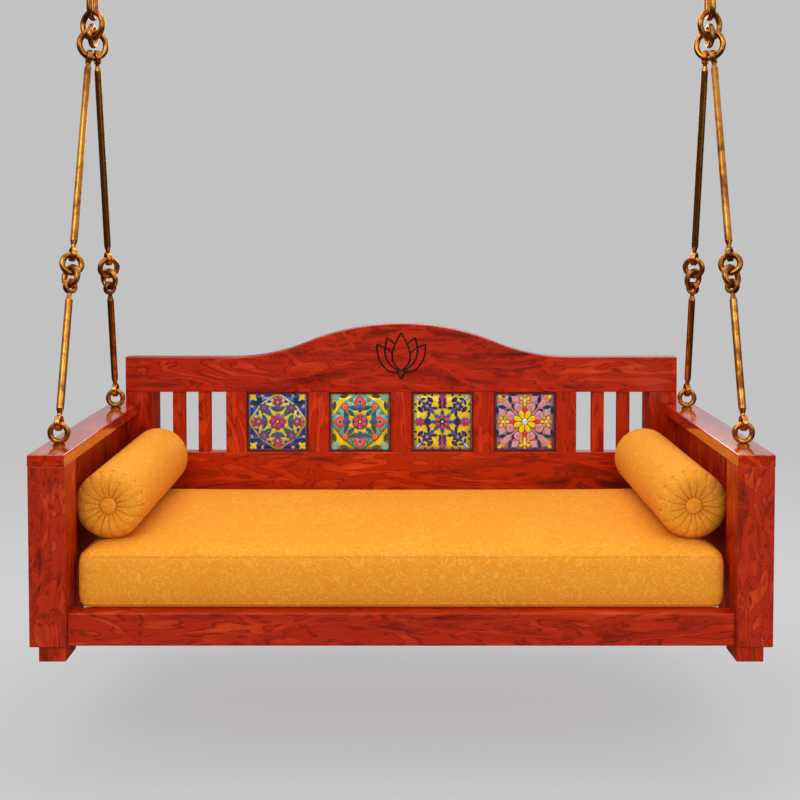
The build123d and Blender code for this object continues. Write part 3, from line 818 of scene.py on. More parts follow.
@dataclass(frozen=True)
class Motif:
    """One painted motif and how often it stands round the tile's centre.

    Sizes are shares of the tile's half width. Angles are in degrees, anticlockwise from +X.
    """

    outline: Outline
    glaze: Glaze
    radius: float
    start: float
    copies: int
    length: float
    width: float
    turn: float = 0.0
    line: float = 0.0


def both_sides(motif: Motif, axis: float = 45) -> tuple[Motif, Motif]:
    """Return a motif and its mirror image on the other side of an axis.

    Args:
        motif: The motif on one side.
        axis: The axis's angle in degrees.
    """
    return motif, replace(motif, start=2 * axis - motif.start, turn=-motif.turn)


def small_flowers(glazes: tuple[Glaze, Glaze], reach: float, ring: float, petal: Pair,
                  line: float) -> tuple[Motif, ...]:
    """Return four flowers round the tile's centre, each with six petals of two glazes in turn.

    Args:
        glazes: The two glazes.
        reach: From the tile's centre to a flower's.
        ring: From a flower's centre to its petals'.
        petal: A petal's length and width.
        line: The dark line under each petal, in millimetres.
    """
    motifs = []
    for number in range(6):
        lean = 60 * number
        x = reach + ring * math.cos(math.radians(lean))
        z = ring * math.sin(math.radians(lean))
        start = math.degrees(math.atan2(z, x))
        motifs.append(Motif(Outline.PETAL, glazes[number % 2], math.hypot(x, z), start, 4, *petal,
                            lean - start, line))
    return tuple(motifs)


@dataclass
class PaintedTile:
    """One glazed tile with its painted pattern in low relief."""

    number: int
    ground: Glaze
    motifs: tuple[Motif, ...]
    layer: float = 0.11 * MM
    dome: float = 0.16 * MM

    def motif_mesh(self, motif: Motif, half: float, grown: float, face_y: float, level: int) -> bpy.types.Object:
        """Make one motif as a slightly domed glaze island, its tip towards +X.

        Args:
            motif: The motif.
            half: The tile's half width.
            grown: How much wider it is all round, for the dark line under it.
            face_y: The tile's face.
            level: Its place in the order of painting.

        Returns:
            The motif's object, centred on the origin in X and Z.
        """
        rim = motif.outline.points(motif.length * half + 2 * grown, motif.width * half + 2 * grown)
        top = face_y - self.layer * (level + 1)
        swell = 0.0 if motif.outline in (Outline.PANEL, Outline.MEDALLION) else self.dome
        points: list[Point] = [(x, face_y + 0.2 * MM, z) for x, z in rim]
        points += [(x, top, z) for x, z in rim]
        points += [(x * 0.72, top - swell * 0.8, z * 0.72) for x, z in rim]
        points.append((0.0, top - swell, 0.0))
        n = len(rim)
        faces: list[tuple[int, ...]] = []
        for i in range(n):
            j = (i + 1) % n
            faces.append((i, j, n + j, n + i))
            faces.append((n + i, n + j, 2 * n + j, 2 * n + i))
            faces.append((2 * n + i, 2 * n + j, 3 * n))
        return mesh_object("motif", points, faces)

    def paint(self, tree: ShapeTree) -> bpy.types.Object:
        """Paint the tile.

        Args:
            tree: The tree that sets motifs round a centre.

        Returns:
            The painting, one mesh with a material for each glaze.
        """
        node = f"tile_{self.number}"
        low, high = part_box(node)
        half = (high.x - low.x) / 2
        centre = ((low.x + high.x) / 2, 0.0, (low.z + high.z) / 2)
        parts = []
        level = 0
        for motif in self.motifs:
            coats = [(motif.glaze, 0.0)]
            if motif.line:
                coats.insert(0, (Glaze.INK, motif.line * MM))
            for glaze, grown in coats:
                base = self.motif_mesh(motif, half, grown, low.y, level)
                parts.append(tree.shape(f"paint_{level}", base, glaze.value.material(), Copies=motif.copies,
                                        Radius=motif.radius * half, Start=math.radians(motif.start),
                                        Turn=math.radians(motif.turn), Centre=centre))
                level += 1
        painting = joined(f"{node}_painting", parts)
        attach(painting, "seat")
        log.info("%s: %d motifs, %d faces", node, len(self.motifs), len(painting.data.polygons))
        return painting


def cobalt_tile() -> PaintedTile:
    """Return the blue tile with a pointed yellow medallion."""
    o, g = Outline, Glaze
    return PaintedTile(1, g.BLUE, (
        Motif(o.PANEL, g.SKY, 0.0, 0, 1, 1.98, 1.98),
        Motif(o.PANEL, g.BLUE, 0.0, 0, 1, 1.86, 1.86),
        Motif(o.LEAF, g.NAVY, 1.0, 45, 4, 0.46, 0.30, 90),
        Motif(o.PETAL, g.YELLOW, 1.17, 45, 4, 0.34, 0.13),
        Motif(o.PETAL, g.YELLOW, 1.19, 45, 4, 0.30, 0.11, 90),
        Motif(o.DISC, g.AMBER, 1.03, 30.5, 4, 0.13, 0.09, 60),
        Motif(o.DISC, g.AMBER, 1.03, 59.5, 4, 0.13, 0.09, 30),
        Motif(o.MEDALLION, g.YELLOW, 0.0, 0, 1, 1.96, 1.92),
        Motif(o.MEDALLION, g.BLUE, 0.0, 0, 1, 1.84, 1.80),
        Motif(o.MEDALLION, g.YELLOW, 0.0, 0, 1, 1.78, 1.74),
        *both_sides(Motif(o.LEAF, g.BLUE, 0.74, 22, 4, 0.17, 0.10, 80)),
        Motif(o.ROSETTE, g.SLATE, 0.64, 45, 4, 0.46, 0.40),
        Motif(o.DISC, g.SLATE, 0.80, 45, 4, 0.13, 0.10),
        Motif(o.DROP, g.SCARLET, 0.65, 45, 4, 0.14, 0.11, 180),
        Motif(o.ROSETTE, g.MAUVE, 0.68, 0, 4, 0.42, 0.38, 0, 0.5),
        Motif(o.DISC, g.ROSE, 0.84, 0, 4, 0.11, 0.13),
        Motif(o.DISC, g.AMBER, 0.66, 0, 4, 0.10, 0.08),
        *both_sides(Motif(o.DISC, g.CORAL, 0.70, 12, 4, 0.07, 0.05), 0),
        *both_sides(Motif(o.LEAF, g.TEAL, 0.46, 14, 4, 0.34, 0.15, 48), 0),
        Motif(o.LEAF, g.SLATE, 0.44, 0, 4, 0.22, 0.20),
        Motif(o.LEAF, g.TEAL, 0.42, 45, 4, 0.24, 0.16),
        Motif(o.DISC, g.MAUVE, 0.0, 0, 1, 0.58, 0.58),
        Motif(o.ROSETTE, g.SLATE, 0.0, 12, 1, 0.46, 0.46),
        *both_sides(Motif(o.DISC, g.YELLOW, 0.31, 24, 4, 0.11, 0.09, 20)),
        Motif(o.PETAL, g.ROSE, 0.15, 50, 6, 0.16, 0.10, 0, 0.4),
        Motif(o.DISC, g.INK, 0.0, 0, 1, 0.13, 0.13),
        Motif(o.DISC, g.YELLOW, 0.0, 0, 1, 0.08, 0.08),
    ))


def lemon_tile() -> PaintedTile:
    """Return the yellow tile with a turquoise medallion."""
    o, g = Outline, Glaze
    return PaintedTile(2, g.YELLOW, (
        Motif(o.PANEL, g.SKY, 0.0, 0, 1, 1.98, 1.98),
        Motif(o.PANEL, g.YELLOW, 0.0, 0, 1, 1.88, 1.88),
        Motif(o.PETAL, g.AQUA, 1.20, 45, 4, 0.32, 0.26),
        Motif(o.DISC, g.PEACH, 1.22, 45, 4, 0.15, 0.10),
        *both_sides(Motif(o.LEAF, g.OLIVE, 1.04, 32, 4, 0.34, 0.15, 68)),
        Motif(o.MEDALLION, g.TEAL, 0.0, 0, 1, 1.99, 1.97),
        Motif(o.MEDALLION, g.AQUA, 0.0, 0, 1, 1.95, 1.93),
        Motif(o.MEDALLION, g.YELLOW, 0.0, 0, 1, 1.72, 1.72),
        Motif(o.MEDALLION, g.AQUA, 0.0, 0, 1, 1.66, 1.66),
        *both_sides(Motif(o.DISC, g.OLIVE, 0.80, 22, 4, 0.14, 0.12)),
        *both_sides(Motif(o.DISC, g.AMBER, 0.80, 22, 4, 0.06, 0.05)),
        Motif(o.STAR, g.YELLOW, 0.0, 0, 1, 1.36, 1.36),
        Motif(o.DROP, g.CORAL, 0.74, 0, 4, 0.44, 0.40, 0, 0.5),
        Motif(o.DROP, g.PINK, 0.71, 0, 4, 0.24, 0.20),
        Motif(o.DROP, g.SLATE, 0.70, 0, 4, 0.12, 0.12),
        Motif(o.DROP, g.CORAL, 0.70, 45, 4, 0.28, 0.26, 180, 0.5),
        Motif(o.DISC, g.AMBER, 0.73, 45, 4, 0.14, 0.14),
        Motif(o.DISC, g.MAUVE, 0.73, 45, 4, 0.07, 0.07),
        Motif(o.LEAF, g.TEAL, 0.52, 24, 4, 0.42, 0.15, 52),
        Motif(o.LEAF, g.OLIVE, 0.52, 66, 4, 0.42, 0.15, -52),
        Motif(o.LEAF, g.SLATE, 0.46, 0, 4, 0.30, 0.22),
        Motif(o.LEAF, g.SLATE, 0.46, 0, 4, 0.13, 0.34),
        Motif(o.LEAF, g.TEAL, 0.44, 45, 4, 0.34, 0.16),
        Motif(o.DISC, g.YELLOW, 0.36, 24, 4, 0.11, 0.10, 45),
        Motif(o.DISC, g.YELLOW, 0.36, 66, 4, 0.11, 0.10, 45),
        Motif(o.DISC, g.SLATE, 0.0, 0, 1, 0.54, 0.54),
        Motif(o.PETAL, g.CORAL, 0.16, 30, 6, 0.19, 0.12, 0, 0.4),
        Motif(o.PETAL, g.ROSE, 0.17, 90, 1, 0.22, 0.17, 0, 0.4),
        Motif(o.DISC, g.INK, 0.0, 0, 1, 0.14, 0.14),
        Motif(o.DISC, g.WHITE, 0.0, 0, 1, 0.08, 0.08),
    ))


def indigo_tile() -> PaintedTile:
    """Return the yellow tile with indigo flowers and a blue star."""
    o, g = Outline, Glaze
    return PaintedTile(3, g.YELLOW, (
        Motif(o.PANEL, g.SKY, 0.0, 0, 1, 1.98, 1.98),
        Motif(o.PANEL, g.YELLOW, 0.0, 0, 1, 1.90, 1.90),
        Motif(o.LEAF, g.SKY, 1.10, 45, 4, 0.48, 0.13),
        Motif(o.LEAF, g.WHITE, 1.15, 45, 4, 0.24, 0.05),
        *both_sides(Motif(o.LEAF, g.INDIGO, 0.86, 29, 4, 0.28, 0.16, 20)),
        *both_sides(Motif(o.DISC, g.INDIGO, 0.98, 21, 4, 0.09, 0.08)),
        *both_sides(Motif(o.DISC, g.INDIGO, 1.10, 33, 4, 0.10, 0.07)),
        *both_sides(Motif(o.LEAF, g.NAVY, 1.02, 40, 4, 0.20, 0.09, 60)),
        Motif(o.ROSETTE, g.INDIGO, 0.74, 45, 4, 0.42, 0.38),
        Motif(o.DISC, g.SLATE, 0.74, 45, 4, 0.20, 0.17),
        Motif(o.DISC, g.AMBER, 0.74, 45, 4, 0.08, 0.08),
        Motif(o.LEAF, g.SLATE, 0.52, 45, 4, 0.28, 0.12),
        *both_sides(Motif(o.LEAF, g.INDIGO, 0.54, 30, 4, 0.24, 0.11, 60)),
        *both_sides(Motif(o.LEAF, g.INDIGO, 0.56, 90, 2, 0.34, 0.17, 56), 90),
        *both_sides(Motif(o.LEAF, g.INDIGO, 0.73, 90, 2, 0.34, 0.15, 62), 90),
        *both_sides(Motif(o.LEAF, g.MAUVE, 0.86, 90, 2, 0.28, 0.13, 60), 90),
        Motif(o.LEAF, g.ROSE, 0.69, 90, 2, 0.56, 0.07),
        Motif(o.DISC, g.MAUVE, 0.90, 90, 2, 0.09, 0.11),
        Motif(o.LEAF, g.NAVY, 0.52, 0, 2, 0.34, 0.26, 0),
        Motif(o.LEAF, g.INDIGO, 0.52, 0, 2, 0.14, 0.40, 0),
        Motif(o.ROSETTE, g.MAUVE, 0.78, 0, 2, 0.38, 0.34),
        Motif(o.DISC, g.ROSE, 0.82, 0, 2, 0.13, 0.12),
        Motif(o.DISC, g.SCARLET, 0.68, 0, 2, 0.10, 0.07),
        Motif(o.STAR, g.SLATE, 0.0, 0, 1, 0.84, 0.84),
        Motif(o.LEAF, g.BLUE, 0.32, 0, 4, 0.18, 0.10),
        Motif(o.DISC, g.NAVY, 0.0, 0, 1, 0.30, 0.30),
        Motif(o.PETAL, g.SCARLET, 0.17, 30, 6, 0.15, 0.09, 0, 0.4),
        Motif(o.DISC, g.YELLOW, 0.0, 0, 1, 0.08, 0.08),
    ))


def rose_tile() -> PaintedTile:
    """Return the dusty pink tile with a yellow flower."""
    o, g = Outline, Glaze
    return PaintedTile(4, g.PINK, (
        Motif(o.PANEL, g.SKY, 0.0, 0, 1, 1.98, 1.98),
        Motif(o.PANEL, g.PINK, 0.0, 0, 1, 1.90, 1.90),
        Motif(o.PETAL, g.BLUSH, 0.86, 45, 4, 0.42, 0.20, 0, 0.4),
        *both_sides(Motif(o.PETAL, g.BLUSH, 0.84, 22, 4, 0.36, 0.22, 30, 0.4)),
        Motif(o.LEAF, g.PEACH, 1.10, 45, 4, 0.26, 0.30),
        *both_sides(Motif(o.LEAF, g.NAVY, 0.92, 33, 4, 0.32, 0.14, -22)),
        *both_sides(Motif(o.LEAF, g.NAVY, 1.02, 23, 4, 0.30, 0.12, 60)),
        *both_sides(Motif(o.LEAF, g.NAVY, 0.64, 36, 4, 0.28, 0.12, -14)),
        Motif(o.LEAF, g.PEACH, 0.84, 45, 4, 0.50, 0.035),
        Motif(o.LEAF, g.TEAL, 1.13, 40, 4, 0.14, 0.08, 40),
        Motif(o.PETAL, g.YELLOW, 1.20, 45, 4, 0.17, 0.12, 0, 0.3),
        Motif(o.PETAL, g.BLUSH, 0.53, 22.5, 8, 0.30, 0.30, 0, 0.6),
        Motif(o.PETAL, g.PINK, 0.52, 22.5, 8, 0.18, 0.18),
        Motif(o.DIAMOND, g.SCARLET, 0.40, 0, 4, 0.34, 0.20, 0, 0.4),
        Motif(o.DISC, g.TEAL, 0.60, 0, 4, 0.12, 0.11),
        *small_flowers((g.AMBER, g.YELLOW), 0.74, 0.13, (0.15, 0.11), 0.4),
        Motif(o.DISC, g.WHITE, 0.74, 0, 4, 0.12, 0.10),
        Motif(o.PETAL, g.YELLOW, 0.25, 22.5, 8, 0.30, 0.17, 0, 0.6),
        Motif(o.DISC, g.WHITE, 0.0, 0, 1, 0.19, 0.22, 0, 0.4),
    ))


# ---- Cushions ----


@dataclass(frozen=True)
class Swelling:
    """How the stuffing presses a cover outwards, as a cloth simulation."""

    pressure: float = 4.0
    frames: int = 20
    cap: float = 7 * MM

    def fill(self, cover: bpy.types.Object, pinned: Sequence[float]) -> None:
        """Blow a cover up against its pinned seams and keep the result.

        Args:
            cover: The cover, a closed mesh.
            pinned: For each vertex, 1 where a seam holds it and 0 where it is free.
        """
        group = cover.vertex_groups.new(name="seams")
        for index, weight in enumerate(pinned):
            if weight > 0:
                group.add([index], float(weight), "REPLACE")
        before = np.array([v.co for v in cover.data.vertices])
        cloth = cover.modifiers.new("stuffing", "CLOTH")
        settings = cloth.settings
        settings.quality = 4
        settings.mass = 0.3
        settings.tension_stiffness = 18
        settings.compression_stiffness = 12
        settings.bending_stiffness = 4
        settings.use_pressure = True
        settings.uniform_pressure_force = self.pressure
        settings.effector_weights.gravity = 0
        settings.vertex_group_mass = "seams"
        cloth.point_cache.frame_start = 1
        cloth.point_cache.frame_end = self.frames
        scene = bpy.context.scene
        for frame_number in range(1, self.frames + 1):
            scene.frame_set(frame_number)
        graph = bpy.context.evaluated_depsgraph_get()
        after = np.array([v.co for v in cover.evaluated_get(graph).data.vertices])
        cover.modifiers.clear()
        cover.vertex_groups.clear()
        scene.frame_set(1)
        travel = after - before
        length = np.maximum(np.linalg.norm(travel, axis=1, keepdims=True), 1e-9)
        travel *= np.minimum(1.0, self.cap / length)
        cover.data.vertices.foreach_set("co", (before + travel).ravel())
        cover.data.update()
        log.info("%s: stuffing moved the cover by up to %.1f mm", cover.name, float(length.max()) / MM)


def subdivided(made: bpy.types.Object, levels: int) -> None:
    """Subdivide a mesh smoothly and keep the result."""
    modifier = made.modifiers.new("smooth", "SUBSURF")
    modifier.levels = modifier.render_levels = levels
    modifier.use_limit_surface = False
    take_mesh(made, evaluated_mesh(made))


@dataclass
class Mattress:
    """The long seat cushion: a foam block in a close cover, sewn round its top and base edges."""

    edge_round: float = 13 * MM
    seam_drop: float = 7.5 * MM
    spacing: float = 12 * MM
    crown: float = 3.5 * MM
    base_clear: float = 0.8 * MM
    base_tuck: float = 5 * MM
    tuck_reach: float = 24 * MM
    seam_dent: float = 1.2 * MM
    seam_reach: float = 5 * MM
    side_reach: float = 20 * MM
    margin: float = 1 * MM
    stitch_offset: float = 3.2 * MM
    stitch_length: float = 4.2 * MM
    thread_width: float = 1.0 * MM
    cord_radius: float = 1.1 * MM
    stitch_pitch: float = 6.5 * MM
    swelling: Swelling = Swelling(pressure=5.0, cap=4.5 * MM)

    def outline(self, half_x: float, half_y: float, centre_y: float, inset: float) -> list[Pair]:
        """Return the cover's rounded outline, an even spacing apart, inset by a length."""
        a, b = half_x - inset, half_y - inset
        r = max(self.edge_round - inset, 3 * MM)
        points: list[Pair] = []
        x, y = a - r, b - r
        corners = ((x, y, 0), (-x, y, 90), (-x, -y, 180), (x, -y, 270))
        for (cx, cy, start), (nx, ny, nstart) in zip(corners, corners[1:] + corners[:1]):
            for step in range(4):
                angle = math.radians(start + 90 * step / 3)
                points.append((cx + r * math.cos(angle), centre_y + cy + r * math.sin(angle)))
            end = points[-1]
            angle = math.radians(nstart)
            goal = (nx + r * math.cos(angle), centre_y + ny + r * math.sin(angle))
            count = round(math.dist((cx, cy), (nx, ny)) / self.spacing)
            points += [(end[0] + (goal[0] - end[0]) * k / count, end[1] + (goal[1] - end[1]) * k / count)
                       for k in range(1, count)]
        return points

    def cover(self, low: Vector, high: Vector) -> tuple[bpy.types.Object, list[float]]:
        """Make the unstuffed cover.

        Args:
            low: Lowest corner of the space that it fills.
            high: Highest corner.

        Returns:
            The cover and how firmly each vertex is held.
        """
        shell = bmesh.new()
        bmesh.ops.create_cube(shell, size=1.0)
        size = high - low
        for vertex in shell.verts:
            vertex.co = Vector((low[i] + size[i] * (vertex.co[i] + 0.5) for i in range(3)))
        bmesh.ops.bevel(shell, geom=shell.edges[:], offset=self.edge_round, segments=3, affect="EDGES")
        mesh = bpy.data.meshes.new("mattress_cover")
        shell.to_mesh(mesh)
        shell.free()
        made = placed("mattress_cover", mesh)
        net = made.modifiers.new("net", "REMESH")
        net.mode, net.voxel_size = "VOXEL", self.spacing
        take_mesh(made, evaluated_mesh(made))
        held = []
        for vertex in made.data.vertices:
            x, y, z = vertex.co
            side = min(x - low.x, high.x - x, y - low.y, high.y - y)
            near_top = abs(z - (high.z - self.seam_drop)) < self.spacing * 0.6 and side < self.spacing
            near_base = z < low.z + self.spacing * 0.8
            held.append(1.0 if near_top or near_base else 0.0)
        return made, held

    def build(self, cord: ShapeTree, stitch: ShapeTree, rests: Callable[[float, float], float]) -> None:
        """Build the mattress with its seams.

        Args:
            cord: The tree that sweeps a round cord along a path.
            stitch: The tree that sews stitches along a path.
            rests: Gives the highest point that the cover may reach at x and y.
        """
        low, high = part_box("mattress")
        margin = Vector((self.margin,) * 3)
        made, held = self.cover(low + margin, high - margin)
        self.swelling.fill(made, held)
        subdivided(made, 1)
        self.fit(made, low, high)
        self.settle(made, low, high, rests)
        made.data.materials.append(CLOTH.material())
        shade_smooth(made.data)
        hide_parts("mattress")
        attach(made, "mattress")

        half_x, half_y = (high.x - low.x) / 2, (high.y - low.y) / 2
        centre_y = (low.y + high.y) / 2
        skin = BVHTree.FromPolygons([v.co for v in made.data.vertices], [p.vertices for p in made.data.polygons])
        loop = self.outline(half_x, half_y, centre_y, 0.0)
        for name, height in (("top", high.z - self.seam_drop), ("base", low.z + self.seam_drop)):
            path = [skin.find_nearest(Vector((x, y, height)))[0] for x, y in loop]
            piping = cord.shape(f"mattress_{name}_seam", path_object("seam", path, True), CLOTH.material(),
                                Radius=self.cord_radius, Sides=8)
            way = -1 if name == "top" else 1
            path = [skin.find_nearest(Vector((x, y, height + way * self.stitch_offset)))[0] for x, y in loop]
            sewn = stitch.shape(f"mattress_{name}_stitches", path_object("thread", path, True), THREAD.material(),
                                Pitch=self.stitch_pitch, Length=self.stitch_length, Thickness=self.thread_width)
            for piece in (piping, sewn):
                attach(piece, "mattress")
        log.info("mattress: cover of %d faces with two seams", len(made.data.polygons))

    @staticmethod
    def fit(made: bpy.types.Object, low: Vector, high: Vector) -> None:
        """Stretch the cover to fill its space."""
        points = np.array([v.co for v in made.data.vertices])
        least, most = points.min(0), points.max(0)
        for axis in range(3):
            share = (points[:, axis] - least[axis]) / (most[axis] - least[axis])
            points[:, axis] = low[axis] + share * (high[axis] - low[axis])
        made.data.vertices.foreach_set("co", points.ravel())

    def settle(self, made: bpy.types.Object, low: Vector, high: Vector,
               rests: Callable[[float, float], float]) -> None:
        """Crown the cover's top, ease its seams in, and press it down where something lies on it.

        Args:
            made: The stuffed cover.
            low: Lowest corner of the mattress's space.
            high: Highest corner.
            rests: Gives the highest point that the cover may reach at x and y.
        """
        half = (high - low) / 2
        middle = (high + low) / 2
        seam = high.z - self.seam_drop
        for vertex in made.data.vertices:
            x, y, z = vertex.co
            across = max(0.0, 1 - ((x - middle.x) / half.x) ** 4) * max(0.0, 1 - ((y - middle.y) / half.y) ** 4)
            if z > seam:
                z += self.crown * across
            beside = max(abs(x - middle.x) / half.x, abs(y - middle.y) / half.y)
            if beside > 0.9:
                fold = math.exp(-((z - seam) / self.seam_reach) ** 2) * self.seam_dent
                x -= math.copysign(fold, x - middle.x) if abs(x - middle.x) > half.x - self.side_reach else 0.0
                y -= math.copysign(fold, y - middle.y) if abs(y - middle.y) > half.y - self.side_reach else 0.0
            tuck = self.base_tuck * max(0.0, 1 - (z - low.z) / self.tuck_reach)
            z = max(z - tuck, low.z + self.base_clear)
            vertex.co = (x, y, min(z, rests(x, y)))
        made.data.update()


@dataclass
class Bolster:
    """A round arm cushion whose ends are gathered under a covered button."""

    side: str
    pleats: int = 17
    around: int = 10
    rim_round: float = 25 * MM
    flat_radius: float = 46 * MM
    seam_turn: float = 74.0
    pleat_depth: float = 6.5 * MM
    dimple: float = 14 * MM
    puff: float = 0.35
    crease_steps: float = 1.6
    wrinkle: float = 0.7 * MM
    wrinkle_from: float = 70 * MM
    wrinkle_over: float = 45 * MM
    # Where painted shade rings each button in its dimple, as a share of the radius, and how far it spreads.
    button_shade_ring: Pair = (0.19, 0.05)
    button_radius: float = 17.5 * MM
    button_inset: float = 7.0 * MM
    cord_radius: float = 1.1 * MM
    clear: float = 0.6 * MM
    stuffed_clear: float = 0.3 * MM
    swelling: Swelling = Swelling(pressure=2.0, cap=2.5 * MM)

    def profile(self, radius: float, half_length: float) -> list[Pair]:
        """Return the cover's section from the middle of one end to the middle of the other.

        Args:
            radius: The bolster's radius.
            half_length: Half its length.

        Returns:
            Distances along the axis, and radii.
        """
        end: list[Pair] = []
        for step in range(11):
            share = 0.1 + 0.9 * step / 10
            end.append((half_length - self.dimple * (1 - share) ** 1.7, self.flat_radius * share))
        for step in range(1, 11):
            end.append(self.shoulder(90 * step / 10, radius, half_length))
        count = 30
        inner = half_length - self.rim_round
        body = [(inner - 2 * inner * step / count, radius) for step in range(1, count)]
        return end + body + [(-along, r) for along, r in reversed(end)]

    def shoulder(self, turn: float, radius: float, half_length: float) -> Pair:
        """Return the place along the axis and the radius, part of the way round an end's edge."""
        angle = math.radians(turn)
        return (half_length - self.rim_round * (1 - math.cos(angle)),
                self.flat_radius + (radius - self.flat_radius) * math.sin(angle))

    def cover(self, centre: Vector, radius: float, half_length: float) -> tuple[bpy.types.Object, list[float]]:
        """Make the cover with its pleats, and the painted shade in their creases and round the button.

        Args:
            centre: The bolster's centre.
            radius: Its radius.
            half_length: Half its length.

        Returns:
            The cover and how firmly each vertex is held.
        """
        chance = random.Random(11 if self.side == "left" else 23)
        lean = [chance.uniform(-0.22, 0.22) for _ in range(self.pleats)]
        depth = [chance.uniform(0.75, 1.25) for _ in range(self.pleats)]
        section = self.profile(radius, half_length)
        count = self.pleats * self.around
        points: list[Point] = []
        held: list[float] = []
        fold_shading: list[float] = []
        for along, r in section:
            share = min(1.0, r / radius)
            at_end = abs(along) > half_length - self.rim_round
            gather = (1 - 0.6 * share) * min(1.0, share / 0.25) if at_end else 0.0
            for step in range(count):
                pleat, place = divmod(step, self.around)
                phase = place / self.around
                crease = max(0.0, 1 - min(phase, 1 - phase) * self.around / self.crease_steps)
                puff = math.sin(math.pi * phase) * self.puff
                strength = depth[pleat] if phase < 0.5 else depth[(pleat + 1) % self.pleats]
                fold = self.pleat_depth * gather * (puff - crease * strength)
                angle = math.tau * (step / count) + lean[pleat] * math.sin(math.pi * phase) * 0.1 * (1 - share)
                if at_end:
                    reach = along + math.copysign(fold * (1 - 0.7 * share), along)
                    spread = r + fold * 0.8 * share
                else:
                    near = max(0.0, abs(along) - (half_length - self.wrinkle_from)) / self.wrinkle_over
                    reach, spread = along, r - self.wrinkle * crease * strength * near
                points.append((centre.x + spread * math.cos(angle), centre.y - reach,
                               centre.z + spread * math.sin(angle)))
                held.append(1.0 if abs(along) > half_length - self.rim_round - 2 * MM else 0.0)
                # Painted shade: darker in the pleat creases at the gathered ends, and in a ring round the button's
                # dimple.
                ring, width = self.button_shade_ring
                button_dimple_shade = max(0.0, 1 - abs(share - ring) / width) if at_end else 0.0
                fold_shading.append(min(1.0, crease * gather * (1.25 - share) + 0.8 * button_dimple_shade))
        made = turned_shell(f"bolster_{self.side}_cover", points, count)
        made.data.attributes.new(PAINTED_FOLD_SHADE, "FLOAT", "POINT").data.foreach_set("value", fold_shading)
        return made, held

    def button(self, centre: Vector, facing: int) -> bpy.types.Object:
        """Make one covered button, domed, with a rolled edge.

        Args:
            centre: The middle of its back.
            facing: -1 if it faces the front and 1 if it faces the back.
        """
        section = ((0.0, 0.30), (0.0, 0.86), (0.09, 0.97), (0.17, 1.0), (0.25, 0.97), (0.31, 0.86), (0.36, 0.66),
                   (0.39, 0.42), (0.40, 0.18))
        count = 36
        points = [(centre.x + r * self.button_radius * math.cos(math.tau * i / count),
                   centre.y + facing * h * self.button_radius,
                   centre.z + r * self.button_radius * math.sin(math.tau * i / count))
                  for h, r in section for i in range(count)]
        made = turned_shell("button", points, count)
        made.data.materials.append(CLOTH.material())
        return made

    def build(self, cord: ShapeTree) -> None:
        """Build the bolster with its rim seams and buttons.

        Args:
            cord: The tree that sweeps a round cord along a path.
        """
        low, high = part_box(f"bolster_{self.side}")
        centre = (low + high) / 2
        radius = (high.z - low.z) / 2 - self.clear
        half_length = (high.y - low.y) / 2
        body = f"bolster_{self.side}"
        made, held = self.cover(centre, radius, half_length)
        self.swelling.fill(made, held)
        self.keep_round(made, centre, (high.z - low.z) / 2)
        subdivided(made, 1)
        made.data.materials.append(CLOTH.material())
        shade_smooth(made.data)
        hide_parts(body)
        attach(made, body)

        seams = []
        for facing in (-1, 1):
            along, reach = self.shoulder(self.seam_turn, radius, half_length)
            ring = [(centre.x + reach * math.cos(math.tau * i / 96), centre.y + facing * along,
                     centre.z + reach * math.sin(math.tau * i / 96)) for i in range(96)]
            seams.append(cord.shape("rim", path_object("rim", ring, True), CLOTH.material(),
                                    Radius=self.cord_radius, Sides=8))
        piping = joined(f"{body}_piping", seams)
        buttons = joined(f"{body}_covered_buttons", [
            self.button(Vector((centre.x, centre.y + facing * (half_length - self.button_inset), centre.z)), facing)
            for facing in (-1, 1)])
        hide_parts(f"bolster_buttons_{self.side}")
        for piece in (piping, buttons):
            shade_smooth(piece.data)
            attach(piece, body)
        log.info("%s: %d pleats, cover of %d faces", body, self.pleats, len(made.data.polygons))

    def keep_round(self, made: bpy.types.Object, centre: Vector, limit: float) -> None:
        """Keep the stuffed cover within the roll's radius, so that it rests on the mattress."""
        allowed = limit - self.stuffed_clear
        for vertex in made.data.vertices:
            reach = math.hypot(vertex.co.x - centre.x, vertex.co.z - centre.z)
            if reach > allowed:
                share = allowed / reach
                vertex.co.x = centre.x + (vertex.co.x - centre.x) * share
                vertex.co.z = centre.z + (vertex.co.z - centre.z) * share
        made.data.update()


@dataclass(frozen=True)
class Resting:
    """Where the bolsters lie on the mattress."""

    rolls: tuple[tuple[Vector, Vector], ...]
    clear: float = 0.4 * MM
    beyond: float = 30 * MM

    def ceiling(self, x: float, y: float) -> float:
        """Return the highest point that the mattress may reach at x and y."""
        highest = 1.0
        for low, high in self.rolls:
            radius = (high.z - low.z) / 2
            away = abs(x - (low.x + high.x) / 2)
            if away < radius and low.y - self.beyond < y < high.y + self.beyond:
                highest = min(highest, low.z + radius - math.sqrt(radius ** 2 - away ** 2) - self.clear)
        return highest


# ---- Studio ----


@dataclass(frozen=True)
class Lamp:
    """One soft rectangular lamp."""

    name: str
    place: Point
    aim: Point
    size: Pair
    watts: float

    def hang(self) -> None:
        """Hang the lamp and turn it to what it lights."""
        data = bpy.data.lights.new(self.name, "AREA")
        data.shape, data.energy = "RECTANGLE", self.watts
        data.size, data.size_y = self.size
        made = bpy.data.objects.new(self.name, data)
        made.location = self.place
        made.rotation_mode = "QUATERNION"
        made.rotation_quaternion = (Vector(self.aim) - Vector(self.place)).to_track_quat("-Z", "Y")
        bpy.context.scene.collection.objects.link(made)


